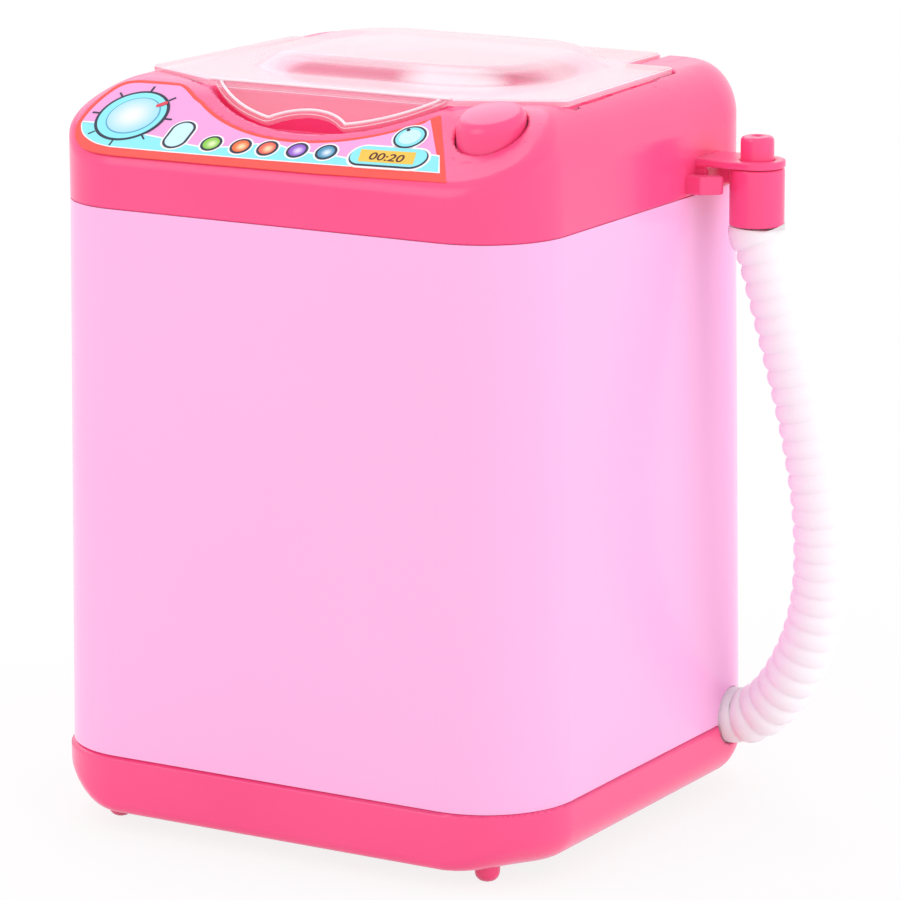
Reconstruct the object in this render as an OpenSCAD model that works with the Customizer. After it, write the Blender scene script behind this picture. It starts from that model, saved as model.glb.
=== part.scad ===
// Toy washing machine: a top-loading toy with a turning basket, two cells in its
// base, a clear lid hinged at the back and a corrugated drain hose at its side.
// Millimetres. Z is up, the front faces -Y, and the floor is at z = 0.

/* [Cabinet] */
// Width of the cabinet at its top seam
cabinet_w = 87.4; // [86:0.1:96]
// Depth of the cabinet at its top seam
cabinet_d = 79.7; // [79:0.1:90]
// Height of the cabinet between its two seams
cabinet_h = 88; // [84:0.5:110]
// Corner radius of the cabinet at its top seam
corner_r = 13.9; // [12:0.1:15]
// How far each side leans out from the top seam to the bottom seam
flare = 1.2; // [0.5:0.1:2]
// Wall thickness of the cabinet
cabinet_wall = 1.8; // [1.4:0.1:2.2]

/* [Base tray] */
// Height of the four nub feet
foot_h = 2.9; // [2.6:0.1:5]
// Radius of a nub foot
foot_r = 2; // [1.8:0.1:3]
// Distance of the feet in from the cabinet's left and right sides
foot_side = 9.5; // [8.5:0.1:12]
// Distance of the feet in from the cabinet's front and back
foot_front = 6.55; // [6.45:0.05:9]
// Height of the base tray's side
base_h = 9.6; // [8.5:0.1:12]
// How far the base tray's lip stands out past the cabinet
base_lip = 0.5; // [0.2:0.1:0.8]
// Rounding of the base tray's bottom edge
base_round = 2.5; // [2:0.1:3]
// Rounding of its bottom edges along the sides
base_side_round = 5.5; // [4:0.1:6]
// Wall and floor thickness of the base tray
base_wall = 1.8; // [1.4:0.1:2]

/* [Top cover] */
// Height of the front skirt under the control panel
skirt_h = 8.25; // [7:0.05:11]
// Height of the top cover from its seam to its deck
cover_h = 18.25; // [17.5:0.05:24]
// Slope of the control panel in degrees
panel_angle = 30; // [27:0.5:33]
// Rounding of the deck's left and right edges
side_round = 9; // [7:0.1:10]
// Rounding of the deck's back edge
back_round = 3.4; // [2.5:0.1:3.6]
// Wall thickness of the top cover
cover_wall = 1.6; // [1.4:0.1:2]

/* [Lid] */
// Distance of the lid's front corners in from the cabinet's sides
lid_side = 5.7; // [5:0.1:7]
// Width of the hinge tongue at the back of the lid
tongue_w = 54; // [48:0.5:56]
// Thickness of the lid
lid_t = 1.2; // [1:0.1:1.4]
// Depth of the seat that the lid lies in
lid_seat = 0.7; // [0.5:0.05:0.9]
// Width of the lid's dome
dome_w = 57; // [50:0.5:62]
// Depth of the lid's dome from front to back
dome_d = 43; // [38:0.5:45]
// Height of the dome above the lid's plate
dome_h = 2.7; // [2:0.1:3.5]
// Radius of the hinge pins
hinge_pin_r = 0.9; // [0.8:0.05:1]
// Radius of the lid's front flap
flap_r = 28.5; // [27:0.1:29.5]
// Radius of the finger notch in the flap
notch_r = 7.2; // [6:0.1:8]
// Depth of the finger recess under the flap, square to the panel
grip_depth = 6.4; // [6:0.1:7]

/* [Power button] */
// Radius of the power button
button_r = 5.3; // [4.8:0.1:5.6]
// Distance of the button from the cabinet's right side
button_side = 12.2; // [11.8:0.1:12.6]
// Distance of the button from the front face
button_y = 13; // [12.5:0.1:13.5]
// How far the button stands out of its well
button_stand = 2.6; // [1.9:0.1:3]
// Travel of the button
button_travel = 1.5; // [1:0.1:1.8]

/* [Wash basket] */
// Outer radius of the wash basket
basket_r = 22; // [20:0.1:22.4]
// Height of the wash basket
basket_h = 47; // [44:0.5:50]
// Wall thickness of the wash basket
basket_wall = 1.2; // [1:0.1:1.5]
// Slots around the basket in each row
slot_count = 12; // [8:1:16]
// Width of a drain slot
slot_w = 2.2; // [1.6:0.1:2.6]
// Distance of the basket's axis from the cabinet's back
drum_back = 31.35; // [30.9:0.05:31.8]

/* [Tub and motor] */
// Depth of the tub
tub_depth = 56; // [54:0.5:60]
// Wall thickness of the tub
tub_wall = 1.6; // [1.3:0.1:1.8]
// Width of the motor can
motor_w = 20; // [18:0.1:21]
// Width of the motor can across its two flats
motor_flat = 15; // [14:0.1:16]
// Length of the motor can
motor_h = 23; // [20:0.5:25]
// Radius of the motor shaft
shaft_r = 1; // [0.8:0.05:1.2]

/* [Battery] */
// Diameter of a cell
cell_d = 14.5; // [14:0.1:14.5]
// Length of a cell with its nub
cell_l = 50.5; // [49:0.1:51]

/* [Drain] */
// Outer diameter of the drain hose
hose_d = 9.2; // [8:0.1:10]
// Height of the drain outlet above the floor
outlet_z = 13.2; // [12.8:0.1:14]
// Distance of the drain outlet from the cabinet's back
outlet_back = 12.85; // [12.35:0.05:13.85]
// Radius of the nozzle on the hose's end
nozzle_r = 4.35; // [4.1:0.05:4.8]
// Height of the nozzle
nozzle_h = 9.1; // [8.5:0.1:11]
// Reach of the hose clip's ring centre past the cabinet's side
clip_reach = 8.6; // [8:0.1:9]
// Distance of the nozzle's axis from the cabinet's back
clip_back = 19.85; // [19:0.05:21]

/* [Hidden] */
$fn = 64;

// clearances and cuts
fit = 0.1;                             // between moulded parts that seat in one another
run = 0.05;                            // radial, round a turning shaft or pin
free = 0.35;                           // round a part that moves
eps = 0.01;                            // overlap that makes a cut run clean through
past = 10;                             // a cut's run past the face it leaves by
reach = 200;                           // half space of a cut, larger than the toy

// self-tapping screws
screw_r = 1.1;
head_r = 2.3;
head_t = 1.5;
head_taper = 0.5;
screw_tip = 1;
drive_w = 0.6;                         // cross slot in a screw's head
drive_t = 0.8;
shank_gap = 0.3;                       // radial, round a screw that passes through
bite = 8;                              // how far a long screw bites
boss_r = 3.2;                          // boss that a long screw bites in
thin_boss_r = 2.8;                     // boss for a screw in the cover

// levels
seam_z = foot_h + base_h;              // base tray to cabinet
rim_z = seam_z + cabinet_h;            // cabinet to top cover
deck_z = rim_z + cover_h;              // flat top of the cover
ridge_z = rim_z + skirt_h;             // front edge of the control panel
floor_z = foot_h + base_wall;          // inside floor of the base tray

// outlines
base_w = cabinet_w + 2 * (flare + base_lip);
base_d = cabinet_d + 2 * (flare + base_lip);
base_r = corner_r + flare + base_lip;
front_y = -cabinet_d / 2;
back_y = cabinet_d / 2;
side_x = cabinet_w / 2;
foot_x = side_x - foot_side;
foot_y = back_y - foot_front;
foot_round = 1.6;                      // rounding of a foot's end
drum_y = back_y - drum_back;
outlet_y = back_y - outlet_back;

// the clip reaches out on the right, so the cabinet's middle stands left of the whole's
clip_x = side_x + clip_reach;          // axis of the nozzle, from the cabinet's middle
clip_y = back_y - clip_back;
clip_r = nozzle_r + 0.3;
mid_x = -(clip_x + clip_r - base_w / 2) / 2;

// control panel, measured up its slope from the front ridge
panel_len = (deck_z - ridge_z) / sin(panel_angle);
bend_y = front_y + panel_len * cos(panel_angle);

// tongues of the cabinet, in the base tray and in the top cover
tongue_t = 1.2;
low_tongue_h = 3;
high_tongue_h = 3;
tongue_root = 1.5;                     // overlap of the low tongue with the wall
tongue_root_high = 3;                  // overlap of the high tongue with the wall

// lid and hinge
lid_w = cabinet_w - 2 * lid_side;
lid_taper = 2;                         // how much each side draws in to the back
seat_z = deck_z - lid_seat;            // floor of the lid's seat
lid_z = seat_z + fit;                  // underside of the lid
lid_top = lid_z + lid_t;
barrel_r = hinge_pin_r + 0.4;
barrel_sink = 0.35;                    // how far the barrel stands up into the lid
barrel_gap = 0.4;                      // ahead of the barrel, in its pocket
hinge_in = 1.85;                       // hinge's axis, inside the back edge's rounding
hinge_y = back_y - back_round - hinge_in;
hinge_z = lid_z + barrel_sink - barrel_r;
pocket_gap = 0.6;
pocket_z = hinge_z - barrel_r - pocket_gap;   // floor of the hinge pocket
tongue_y = hinge_y + 1.1;
pin_len = 2.2;
pin_end_gap = 0.5;
ear_w = 3.6;                           // deck beside the hinge pocket
pan_front = 4.2;                       // pan under the hinge, ahead of its axis
pan_d = 12;
lid_front_run = 7.5;                   // front corners of the lid's plate, behind the bend
lid_back_run = 16.85;                  // its back corners, ahead of the cabinet's back
lid_front_y = bend_y + lid_front_run;
lid_back_y = back_y - lid_back_run;
nose_w = flap_r * 0.78;                // half width of the plate's front edge

// dome of the lid
dome_y = drum_y - 0.5;
dome_corner = 17;
dome_lean = 4;                         // how far its sides lean in
dome_step = 0.3;                       // the plate's opening inside the dome's foot

// flap and finger recess, centred up the panel's slope
recess_gap = 1.3;                      // between the flap's edge and its recess
recess_r = flap_r + recess_gap;
arc_run = 19.3;                        // centre of the flap's arc, past the bend
arc_t = panel_len + arc_run;
flap_low = -0.8;                       // flap's underside, from the panel's face
flap_high = 0.3;
flap_rim_w = 1.1;
flap_rim_h = 0.8;
flap_join = 0.4;                       // flap's run past the bend, into the plate
notch_t = arc_t - flap_r - 2.6;
recess_join = 1;                       // recess past the bend, under the plate

// drum stack, from the deck down
throat_gap = 1.2;
throat_r = basket_r + throat_gap;
throat_wall = 1.4;
throat_lap = 4;                        // how far the throat reaches into the tub
tub_r = throat_r + throat_wall + 0.6;
tub_out = tub_r + tub_wall;
gasket_t = 1;
rib_z = pocket_z - cover_wall;         // underside of the deck's sealing rib
tub_rim = rib_z - gasket_t;
throat_z = tub_rim - throat_lap;
tub_floor = tub_rim - tub_depth;
tub_base_t = 1.8;
tub_under = tub_floor - tub_base_t;
tub_chamfer = 2;                       // step at the tub's lower edge
tub_step = 1;
ear_r = tub_out + 2.6;                 // circle of the four ears' screws
ear_t = 2;
ear_neck = 4;
ear_bite = 3.2;
ear_angles = [45, 135, 225, 315];
gasket_r = ear_r - thin_boss_r - fit;
seal_boss_r = 4.2;                     // seal boss in the middle of the tub's floor
boss_top = tub_floor + 3;
seal_r = 2.9;
seal_gap = 0.02;
shaft_hole_gap = 0.6;

// turning parts
hub_z = boss_top + 0.5;                // drive hub's flange
hub_flange_t = 1.4;
hub_flange_r = 6;
hub_gap = 0.05;
hex_r = 3;
hub_cap = 1.2;                         // hub over the end of the shaft
basket_z = hub_z + hub_flange_t;       // underside of the basket's floor
basket_floor_t = 1.2;
basket_rim_h = 2;
basket_rim_w = 0.5;
slot_rows = 3;
slot_gap = 3;                          // between two rows of slots
slot_low = 6;                          // first row, over the basket's underside
slot_high = 5;                         // solid band over the last row
slot_h = (basket_h - slot_low - slot_high) / slot_rows - slot_gap;
drip_r = 1;                            // drain holes in the floor
drip_in = 4;
pulsator_z = basket_z + basket_floor_t + 0.3;
pulsator_r = basket_r - 5;
disc_t = 1.4;
cone_r = 7;
cone_top_r = 4.6;
cone_h = 6;
fin_r = 10;                            // curved fins, standing on the disc
fin_t = 1.8;
fin_h = 4.6;
fin_start = 2;
fin_end = 2;                           // fin's end, in from the disc's edge
hub_top = pulsator_z + 3;

// motor, hung under the tub
can_gap = 1.5;
can_top = tub_under - can_gap;
can_low = can_top - motor_h;
neck_r = 3;                            // bearing neck on the can
endcap_t = 2;
endcap_low = can_low - endcap_t;
bracket_t = 2;
bracket_w = 8;
bracket_hole_r = 2.5;
post_r = 3;
post_x = motor_w / 2 + post_r + 2;
post_bite = 6.5;
shaft_in = 1;                          // shaft's lower end, in the can

// battery bay, cells lying along X
bay_front = 27.85;                     // bay's middle, behind the cabinet's front
bay_y = front_y + bay_front;
bay_l = cell_l + 7.4;
bay_w = 2 * cell_d + 1.4;
bay_wall = 1.8;
ledge = 0.9;
cell_gap = 0.3;
cell_z = floor_z + cell_d / 2 + cell_gap;
bay_top = cell_z + cell_d / 2 + cell_gap;
cell_y = bay_w / 4;
nub_r = 2.6;
nub_l = 1.3;
plate_t = 0.4;
plate_w = 11;
cell_end = bay_l / 2 - plate_t - fit;  // inner face of a contact plate
coil_wire = 0.35;                      // wire radius of a contact spring
coil_r = 4.2;
coil_end_r = 2.6;

// battery door
door_t = base_wall - fit;
door_ear_r = 4;
door_ear_pad = 0.6;                    // extra thickness under the screw's head
door_screw_x = bay_l / 2 + 6;
door_sink = head_t + fit;              // depth of the screw head's recess
door_boss_r = 2.8;
door_boss_h = 8;
door_bite = 6;
tab_ys = [-8, 8];
tab_w = 4.4;
tab_t = 0.8;
tab_reach = 1.2;
tab_root = 2;
tab_room = 1.6;                        // height of a tab's pocket
door_rib_x = 16;                       // ribs that hold the cells up
door_rib_t = 1.2;
door_rib_h = cell_gap - fit;
door_rib_in = 4;
grip_count = 5;
grip_w = 1;
grip_pitch = 2;
grip_l = 14;
grip_t = 0.5;

// case screws join tray and cabinet, cover screws join cabinet and cover
case_x = side_x + flare - cabinet_wall - 5.2;
case_front = 15.85;                    // screws from the cabinet's front and back
case_back = 25.85;
case_ys = [front_y + case_front, back_y - case_back];
case_sink = 4;                         // depth of a case screw's recess
case_boss_h = bite + 3;
tie_w = 2;
tie_l = 5.6;
tie_x = 3.2;
cover_ys = [-14, 14];
cover_post_x = side_x - 6.9;
ledge_z = rim_z - 4.6;
ledge_t = 2.4;
ledge_l = 6.8;
boss_z = ledge_z + ledge_t + fit;      // lower end of the cover's screw bosses
skin = 0.2;                            // inner bosses stop this far inside the face

// button, straight up and down in a well that the sloping panel cuts to an oval
button_px = side_x - button_side;
button_py = front_y + button_y;
well_r = button_r + 0.25;
tube_r = well_r + 1.4;
tube_z = ridge_z - 4.6;                // lower end of the guide tube
flange_t = 1.2;
flange_r = well_r + 0.9;
flange_z = tube_z - flange_t - fit;    // underside of the button's stop flange
button_top = ridge_z + button_y * tan(panel_angle) + button_stand;
button_tilt = panel_angle / 2;
button_wall = 1.2;
button_hollow = 5;
plunger_r = 1.5;                       // post that pushes the switch
plunger_l = 0.6;
board_t = 1.6;
spring_len = 6;
spring_wire = 0.25;
spring_r = button_r - 0.3;
board_z = flange_z - spring_len - board_t;
board_posts = [[-10, 0.3], [-2.2, 11.6]];
board_post_r = 2.2;
board_ear_r = 2.8;
board_disc_r = 6.6;
board_arm_w = 5;
board_screw_r = 0.85;
board_head_r = 1.9;
board_bite = 4.9;
switch_w = 6;
switch_h = 3.2;
switch_pin_r = 1.4;
switch_gap = 0.15;

// label on the panel
label_t = 0.25;
label_dial = [-31, 9.6, 8.9];          // across, up the slope, radius
label_points = [[-31, 0.7], [30.4, 1.9], [20.7, 16.8], [0, 18], [-26.3, 19.3],
    [-36.2, 19.1], [-37.9, 18], [-38.8, 5]];

// drain
nipple_x = 12;
nipple_y = outlet_y;
nipple_r = 2.9;
nipple_bore = 2;
nipple_len = 8;
pipe_wall = 1.1;
pipe_r = nipple_r + fit + pipe_wall;
pipe_gap = 0.6;                        // under the tub's floor
elbow_r = 9;
outlet_x = side_x + flare + base_lip;
spigot_r = hose_d / 2 - 0.05;
spigot_end = 0.2;                      // spigot's run past the tray's side
spigot_flange_t = 1.2;
spigot_flange_r = spigot_r + 1.6;
spigot_flange_x = side_x + flare - cabinet_wall - 2 - spigot_flange_t;
spigot_nipple_l = 7;
pipe_end_x = spigot_flange_x - 1;

// hose clip on the cover's right side
clip_root = 1;                         // clip's root inside the cover's wall
plate_z = rim_z + 4.6;                 // underside of the clip's top plate
plate_h = 1.2;
web_l = 1.8;                           // web under the plate, out from the side
web_w = 8.4;
stub_r = 2.65;
stub_h = 3.8;
stub_chamfer = 1.1;
stub_gap = 0.15;
jaw_z = rim_z + 0.6;
jaw_h = 2.9;
jaw_l = 2.6;                           // straight part of a jaw
jaw_in = 5.2;
jaw_out = 7.6;
jaw_elbow_r = 1.2;
jaw_tip_gap = 3.2;                     // jaw's tip, short of the nozzle's axis
nozzle_top = plate_z - 0.1;
nozzle_low = nozzle_top - nozzle_h;

// route of the drain hose from the outlet to the nozzle, from the cabinet's middle
hose_route = [[45.7, 27, 13.2], [46.9, 27, 13.2], [49.7, 26.9, 14.3], [53, 26.7, 17.1],
    [56.1, 26.3, 21.3], [58.8, 25.9, 26.5], [60.8, 25.4, 32.2], [61.9, 24.9, 38.4],
    [62.2, 24.4, 44.8], [62, 23.8, 51.4], [61.2, 23.3, 58], [60.1, 22.7, 64.6],
    [58.7, 22.2, 71], [57.3, 21.6, 77.2], [55.9, 21.1, 83], [54.7, 20.6, 88],
    [53.9, 20.3, 91.2], [53.1, 20.15, 93.2], [52.5, 20.03, 94.4], [52.3, 20, 95.1],
    [52.3, 20, 95.65]];
hose_sides = 12;

// ---- shared forms -------------------------------------------------------------

module in_place() {
    translate([mid_x, 0, 0]) children();
}

module at_drum() {
    translate([mid_x, drum_y, 0]) children();
}

// the control panel's own frame: x across, y up the slope, z square out of its face
module on_panel() {
    translate([0, front_y, ridge_z]) rotate([panel_angle, 0, 0]) children();
}

module ring(outer, inner, h) {
    difference() {
        cylinder(r = outer, h = h);
        translate([0, 0, -eps]) cylinder(r = inner, h = h + 2 * eps);
    }
}

// bar from the middle of its near face along +X, its underside at z = 0
module bar(l, w, h) {
    translate([0, -w / 2, 0]) cube([l, w, h]);
}

// upright block with four round corners
module slab(w, d, r, h) {
    for (x = [-1, 1], y = [-1, 1])
        translate([x * (w / 2 - r), y * (d / 2 - r), 0]) cylinder(r = r, h = h);
    translate([-w / 2, -d / 2 + r, 0]) cube([w, d - 2 * r, h]);
    translate([-w / 2 + r, -d / 2, 0]) cube([w - 2 * r, d, h]);
}

// slab whose sides lean in by lean from bottom to top
module leaning_slab(w, d, r, h, lean) {
    for (x = [-1, 1], y = [-1, 1])
        translate([x * (w / 2 - r), y * (d / 2 - r), 0])
            cylinder(r1 = r, r2 = r - lean, h = h);
    rotate([90, 0, 0]) linear_extrude(d - 2 * r, center = true) trapezoid(w, h, lean);
    rotate([90, 0, 90]) linear_extrude(w - 2 * r, center = true) trapezoid(d, h, lean);
}

module trapezoid(w, h, lean) {
    polygon([[-w / 2, 0], [w / 2, 0], [w / 2 - lean, h], [-w / 2 + lean, h]]);
}

// half of a slab's section, with its top edge rounded by f
module rounded_half(half, h, f) {
    square([half, h - f]);
    square([half - f, h]);
    intersection() {
        translate([half - f, h - f]) circle(r = f);
        square([half, h]);
    }
}

module rounded_section(w, h, f) {
    rounded_half(w / 2, h, f);
    mirror([1, 0]) rounded_half(w / 2, h, f);
}

// slab whose top edge is rounded by f all round
module soft_slab(w, d, r, h, f) {
    for (x = [-1, 1], y = [-1, 1])
        translate([x * (w / 2 - r), y * (d / 2 - r), 0])
            rotate_extrude() rounded_half(r, h, f);
    rotate([90, 0, 0]) linear_extrude(d - 2 * r, center = true) rounded_section(w, h, f);
    rotate([90, 0, 90]) linear_extrude(w - 2 * r, center = true) rounded_section(d, h, f);
}

// pan-head screw pointing up, its head's underside at z = 0
module screw(len, r = screw_r, head = head_r) {
    difference() {
        translate([0, 0, -head_t]) cylinder(r1 = head - head_taper, r2 = head, h = head_t);
        for (a = [0, 90])
            rotate([0, 0, a]) translate([-head * 0.6, 0, -head_t - eps])
                bar(head * 1.2, drive_w, drive_t);
    }
    cylinder(r = r, h = len - screw_tip);
    translate([0, 0, len - screw_tip]) cylinder(r1 = r, r2 = r * 0.3, h = screw_tip);
}

// tube swept along a list of points, sides round and closed at both ends
function unit(v) = v / norm(v);
function heading(p, i) =
    unit(p[min(i + 1, len(p) - 1)] - p[max(i - 1, 0)]);
function tube_points(p, r, sides, up) = [
    for (i = [0:len(p) - 1])
        let (t = heading(p, i), u = unit(cross(t, up)), v = cross(u, t))
            for (k = [0:sides - 1])
                p[i] + r * (cos(360 * k / sides) * u + sin(360 * k / sides) * v)
];
function tube_faces(rings, sides) = concat(
    [[for (k = [0:sides - 1]) k]],
    [for (i = [0:rings - 2], k = [0:sides - 1])
        let (a = i * sides + k, b = i * sides + (k + 1) % sides)
            [a, a + sides, b + sides, b]],
    [[for (k = [sides - 1:-1:0]) (rings - 1) * sides + k]]
);
module tube(p, r, sides, up) {
    polyhedron(tube_points(p, r, sides, up), tube_faces(len(p), sides));
}

// coil spring standing on z = 0, from radius r0 up to radius r1
module coil(r0, r1, h, turns, wire, steps = 12) {
    n = turns * steps;
    tube([for (i = [0:n])
            let (s = i / n, a = 360 * i / steps, r = r0 + (r1 - r0) * s)
                [r * cos(a), r * sin(a), wire + (h - 2 * wire) * s]],
        wire, 6, [0, 0, 1]);
}

// ---- base tray ----------------------------------------------------------------

module at_feet() {
    for (x = [-foot_x, foot_x], y = [-foot_y, foot_y]) translate([x, y, 0]) children();
}

module at_case_screws() {
    for (x = [-case_x, case_x], y = case_ys) translate([x, y, 0]) children();
}

module at_outlet(x) {
    translate([x, outlet_y, outlet_z]) rotate([0, 90, 0]) children();
}

module at_door_tabs() {
    for (y = tab_ys) translate([-bay_l / 2, bay_y + y, floor_z]) children();
}

// outer form of the tray shrunk by t, its open side raised
module tray_form(t, raise) {
    w = base_w - 2 * t;
    d = base_d - 2 * t;
    h = base_h - t + raise;
    translate([0, 0, seam_z + raise]) mirror([0, 0, 1]) intersection() {
        soft_slab(w, d, base_r - t, h, base_round - t);
        rotate([90, 0, 0]) linear_extrude(d + past, center = true)
            rounded_section(w, h, base_side_round - t);
    }
}

module base_tray() color("#ff5a8c") in_place() {
    difference() {
        union() {
            difference() {
                tray_form(0, 0);
                tray_form(base_wall, eps);
            }
            at_feet() translate([0, 0, foot_h + eps]) mirror([0, 0, 1])
                rotate_extrude() rounded_half(foot_r, foot_h + eps, foot_round);
            at_case_screws() translate([0, 0, foot_h + base_wall / 2])
                cylinder(r = boss_r, h = seam_z - foot_h - base_wall / 2);
            // battery bay, closed on top
            translate([-bay_l / 2 - bay_wall, bay_y, foot_h])
                bar(bay_l + 2 * bay_wall, bay_w + 2 * bay_wall, bay_top + bay_wall - foot_h);
            // boss of the door's screw, on a pad over the door's ear
            translate([door_screw_x, bay_y, foot_h]) {
                cylinder(r = door_ear_r + base_wall, h = base_wall + door_ear_pad + bay_wall / 2);
                cylinder(r = door_boss_r, h = door_boss_h);
            }
        }
        translate([-bay_l / 2, bay_y, foot_h - eps]) bar(bay_l, bay_w, bay_top - foot_h + eps);
        translate([0, 0, foot_h - eps]) door_plate(fit, base_wall + eps);
        at_door_tabs() translate([-bay_wall - eps, 0, -eps])
            bar(bay_wall + 2 * eps, tab_w + 4 * fit, tab_room);
        translate([door_screw_x, bay_y, foot_h]) cylinder(r = screw_r + run, h = door_boss_h - fit);
        at_case_screws() {
            translate([0, 0, foot_h - eps]) cylinder(r = head_r + shank_gap, h = case_sink + eps);
            cylinder(r = screw_r + shank_gap, h = seam_z + past);
        }
        at_outlet(outlet_x - 2 * base_wall) cylinder(r = spigot_r + fit, h = 4 * base_wall);
    }
}

// outline of the battery door, grown by g, with its screw ear
module door_plate(g, h) {
    translate([-bay_l / 2 - ledge - g, bay_y, 0])
        bar(bay_l + 2 * (ledge + g), bay_w + 2 * (ledge + g), h);
    translate([bay_l / 2, bay_y, 0]) bar(door_screw_x - bay_l / 2, 2 * (door_ear_r + g), h);
    translate([door_screw_x, bay_y, 0]) cylinder(r = door_ear_r + g, h = h + door_ear_pad);
}

module battery_door() color("#ff5a8c") in_place() {
    difference() {
        union() {
            translate([0, 0, foot_h]) door_plate(-fit, door_t);
            at_door_tabs() {
                translate([fit, 0, -tab_t]) bar(tab_root, tab_w, 2 * tab_t);
                translate([-tab_reach, 0, fit]) bar(tab_reach + tab_root, tab_w, tab_t);
            }
            for (x = [-door_rib_x, door_rib_x])
                translate([x - door_rib_t / 2, bay_y, floor_z - 2 * fit])
                    bar(door_rib_t, bay_w - 2 * door_rib_in, 2 * fit + door_rib_h);
        }
        translate([door_screw_x, bay_y, foot_h - eps]) {
            cylinder(r = screw_r + shank_gap, h = past);
            cylinder(r = head_r + fit, h = door_sink + eps);
        }
        for (i = [0:grip_count - 1])
            translate([bay_l / 2 - grip_pitch * (i + 2), bay_y, foot_h - eps])
                bar(grip_w, grip_l, grip_t);
    }
}

module battery_door_screw() color("#c9ccd1") in_place() {
    translate([door_screw_x, bay_y, foot_h + door_sink]) screw(door_bite, head = head_r - fit);
}

module battery_cells() color("#3c3f46") in_place() {
    for (side = [-1, 1])
        translate([0, bay_y + side * cell_y, cell_z]) rotate([0, side * 90, 0])
            translate([0, 0, -cell_l / 2]) rotate_extrude() {
                square([cell_d / 2 - run, cell_l - nub_l]);
                square([nub_r, cell_l]);
            }
}

module contact_plates() color("#d4d6da") in_place() {
    for (x = [-1, 1], side = [-1, 1])
        translate([x * (bay_l / 2 - fit - plate_t / 2), bay_y + side * cell_y, cell_z])
            cube([plate_t, plate_w, plate_w], center = true);
}

module contact_springs() color("#d4d6da") in_place() {
    for (side = [-1, 1])
        translate([-side * cell_end, bay_y + side * cell_y, cell_z])
            rotate([0, side * 90, 0])
                coil(coil_r, coil_end_r, cell_end - cell_l / 2 - fit, 4, coil_wire);
}

// ---- cabinet ------------------------------------------------------------------

module cabinet() color("#ffb4e8") in_place() {
    difference() {
        union() {
            difference() {
                translate([0, 0, seam_z])
                    leaning_slab(cabinet_w + 2 * flare, cabinet_d + 2 * flare,
                        corner_r + flare, cabinet_h, flare);
                translate([0, 0, seam_z - eps])
                    leaning_slab(cabinet_w + 2 * (flare - cabinet_wall),
                        cabinet_d + 2 * (flare - cabinet_wall),
                        corner_r + flare - cabinet_wall, cabinet_h + 2 * eps, flare);
            }
            // tongue that drops into the base tray
            tongue(seam_z - low_tongue_h, low_tongue_h + tongue_root,
                base_w - 2 * (base_wall + fit), base_d - 2 * (base_wall + fit),
                base_r - base_wall - fit);
            // tongue that rises into the top cover
            tongue(rim_z - tongue_root_high, high_tongue_h + tongue_root_high,
                cabinet_w - 2 * (cover_wall + fit), cabinet_d - 2 * (cover_wall + fit),
                corner_r - cover_wall - fit);
            // screw bosses, tied to the side walls
            for (x = [0, 1], y = case_ys) mirror([x, 0, 0]) {
                translate([case_x, y, seam_z]) cylinder(r = boss_r, h = case_boss_h);
                translate([case_x + tie_x - tie_l / 2, y, seam_z])
                    bar(tie_l, tie_w, case_boss_h);
            }
            // ledges that the top cover is screwed to from below
            for (x = [0, 1], y = cover_ys) mirror([x, 0, 0]) translate([cover_post_x, y, ledge_z]) {
                cylinder(r = boss_r, h = ledge_t);
                bar(ledge_l, 2 * boss_r, ledge_t);
            }
        }
        at_case_screws() translate([0, 0, seam_z - eps])
            cylinder(r = screw_r + run, h = bite + screw_tip);
        at_cover_screws() translate([0, 0, ledge_z - eps])
            cylinder(r = screw_r + shank_gap, h = ledge_t + 2 * eps);
        // room in the lower tongue for the tray's posts and the drain outlet
        at_case_screws() translate([0, 0, seam_z - low_tongue_h - eps])
            cylinder(r = boss_r + fit, h = low_tongue_h + eps);
        at_outlet(spigot_flange_x) cylinder(r = spigot_r + fit, h = past);
        at_outlet(spigot_flange_x - past)
            cylinder(r = spigot_flange_r + shank_gap, h = past + spigot_flange_t + fit);
    }
}

// upright ring of wall, as wide and deep as the piece that it seats in
module tongue(z, h, w, d, r) {
    translate([0, 0, z]) difference() {
        slab(w, d, r, h);
        translate([0, 0, -eps])
            slab(w - 2 * tongue_t, d - 2 * tongue_t, r - tongue_t, h + 2 * eps);
    }
}

module case_screws() color("#c9ccd1") in_place() {
    at_case_screws() translate([0, 0, foot_h + case_sink])
        screw(seam_z - foot_h - case_sink + bite);
}

// ---- top cover ----------------------------------------------------------------

// outer form of the cover shrunk by t on every side
module cover_form(t) {
    w = cabinet_w - 2 * t;
    d = cabinet_d - 2 * t;
    h = cover_h - t;
    difference() {
        intersection() {
            translate([0, 0, rim_z]) soft_slab(w, d, corner_r - t, h, back_round - t / 2);
            translate([0, 0, rim_z]) rotate([90, 0, 0])
                linear_extrude(d + past, center = true) rounded_section(w, h, side_round - t);
        }
        on_panel() translate([-reach / 2, -reach / 2, -t]) cube(reach);
    }
}

// lid's outline seen from above, grown by g; its front edge stops at the bend
module lid_outline(g) {
    w = lid_w / 2 + g;
    b = lid_w / 2 - lid_taper + g;
    n = tongue_w / 2 + g;
    polygon([[-w, lid_front_y], [-nose_w - g, bend_y - g], [nose_w + g, bend_y - g],
        [w, lid_front_y], [b, lid_back_y + g], [n, lid_back_y + g], [n, tongue_y + g],
        [-n, tongue_y + g], [-n, lid_back_y + g], [-b, lid_back_y + g]]);
}

// hollow under the lid's flap, of radius r and depth, ending back behind the bend
module grip_form(r, depth, back) {
    intersection() {
        on_panel() translate([0, arc_t, -depth]) cylinder(r = r, h = depth + past, $fn = 96);
        translate([-reach / 2, bend_y + back - reach, rim_z]) cube(reach);
    }
}

module at_cover_screws() {
    for (x = [-cover_post_x, cover_post_x], y = cover_ys) translate([x, y, 0]) children();
}

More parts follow.
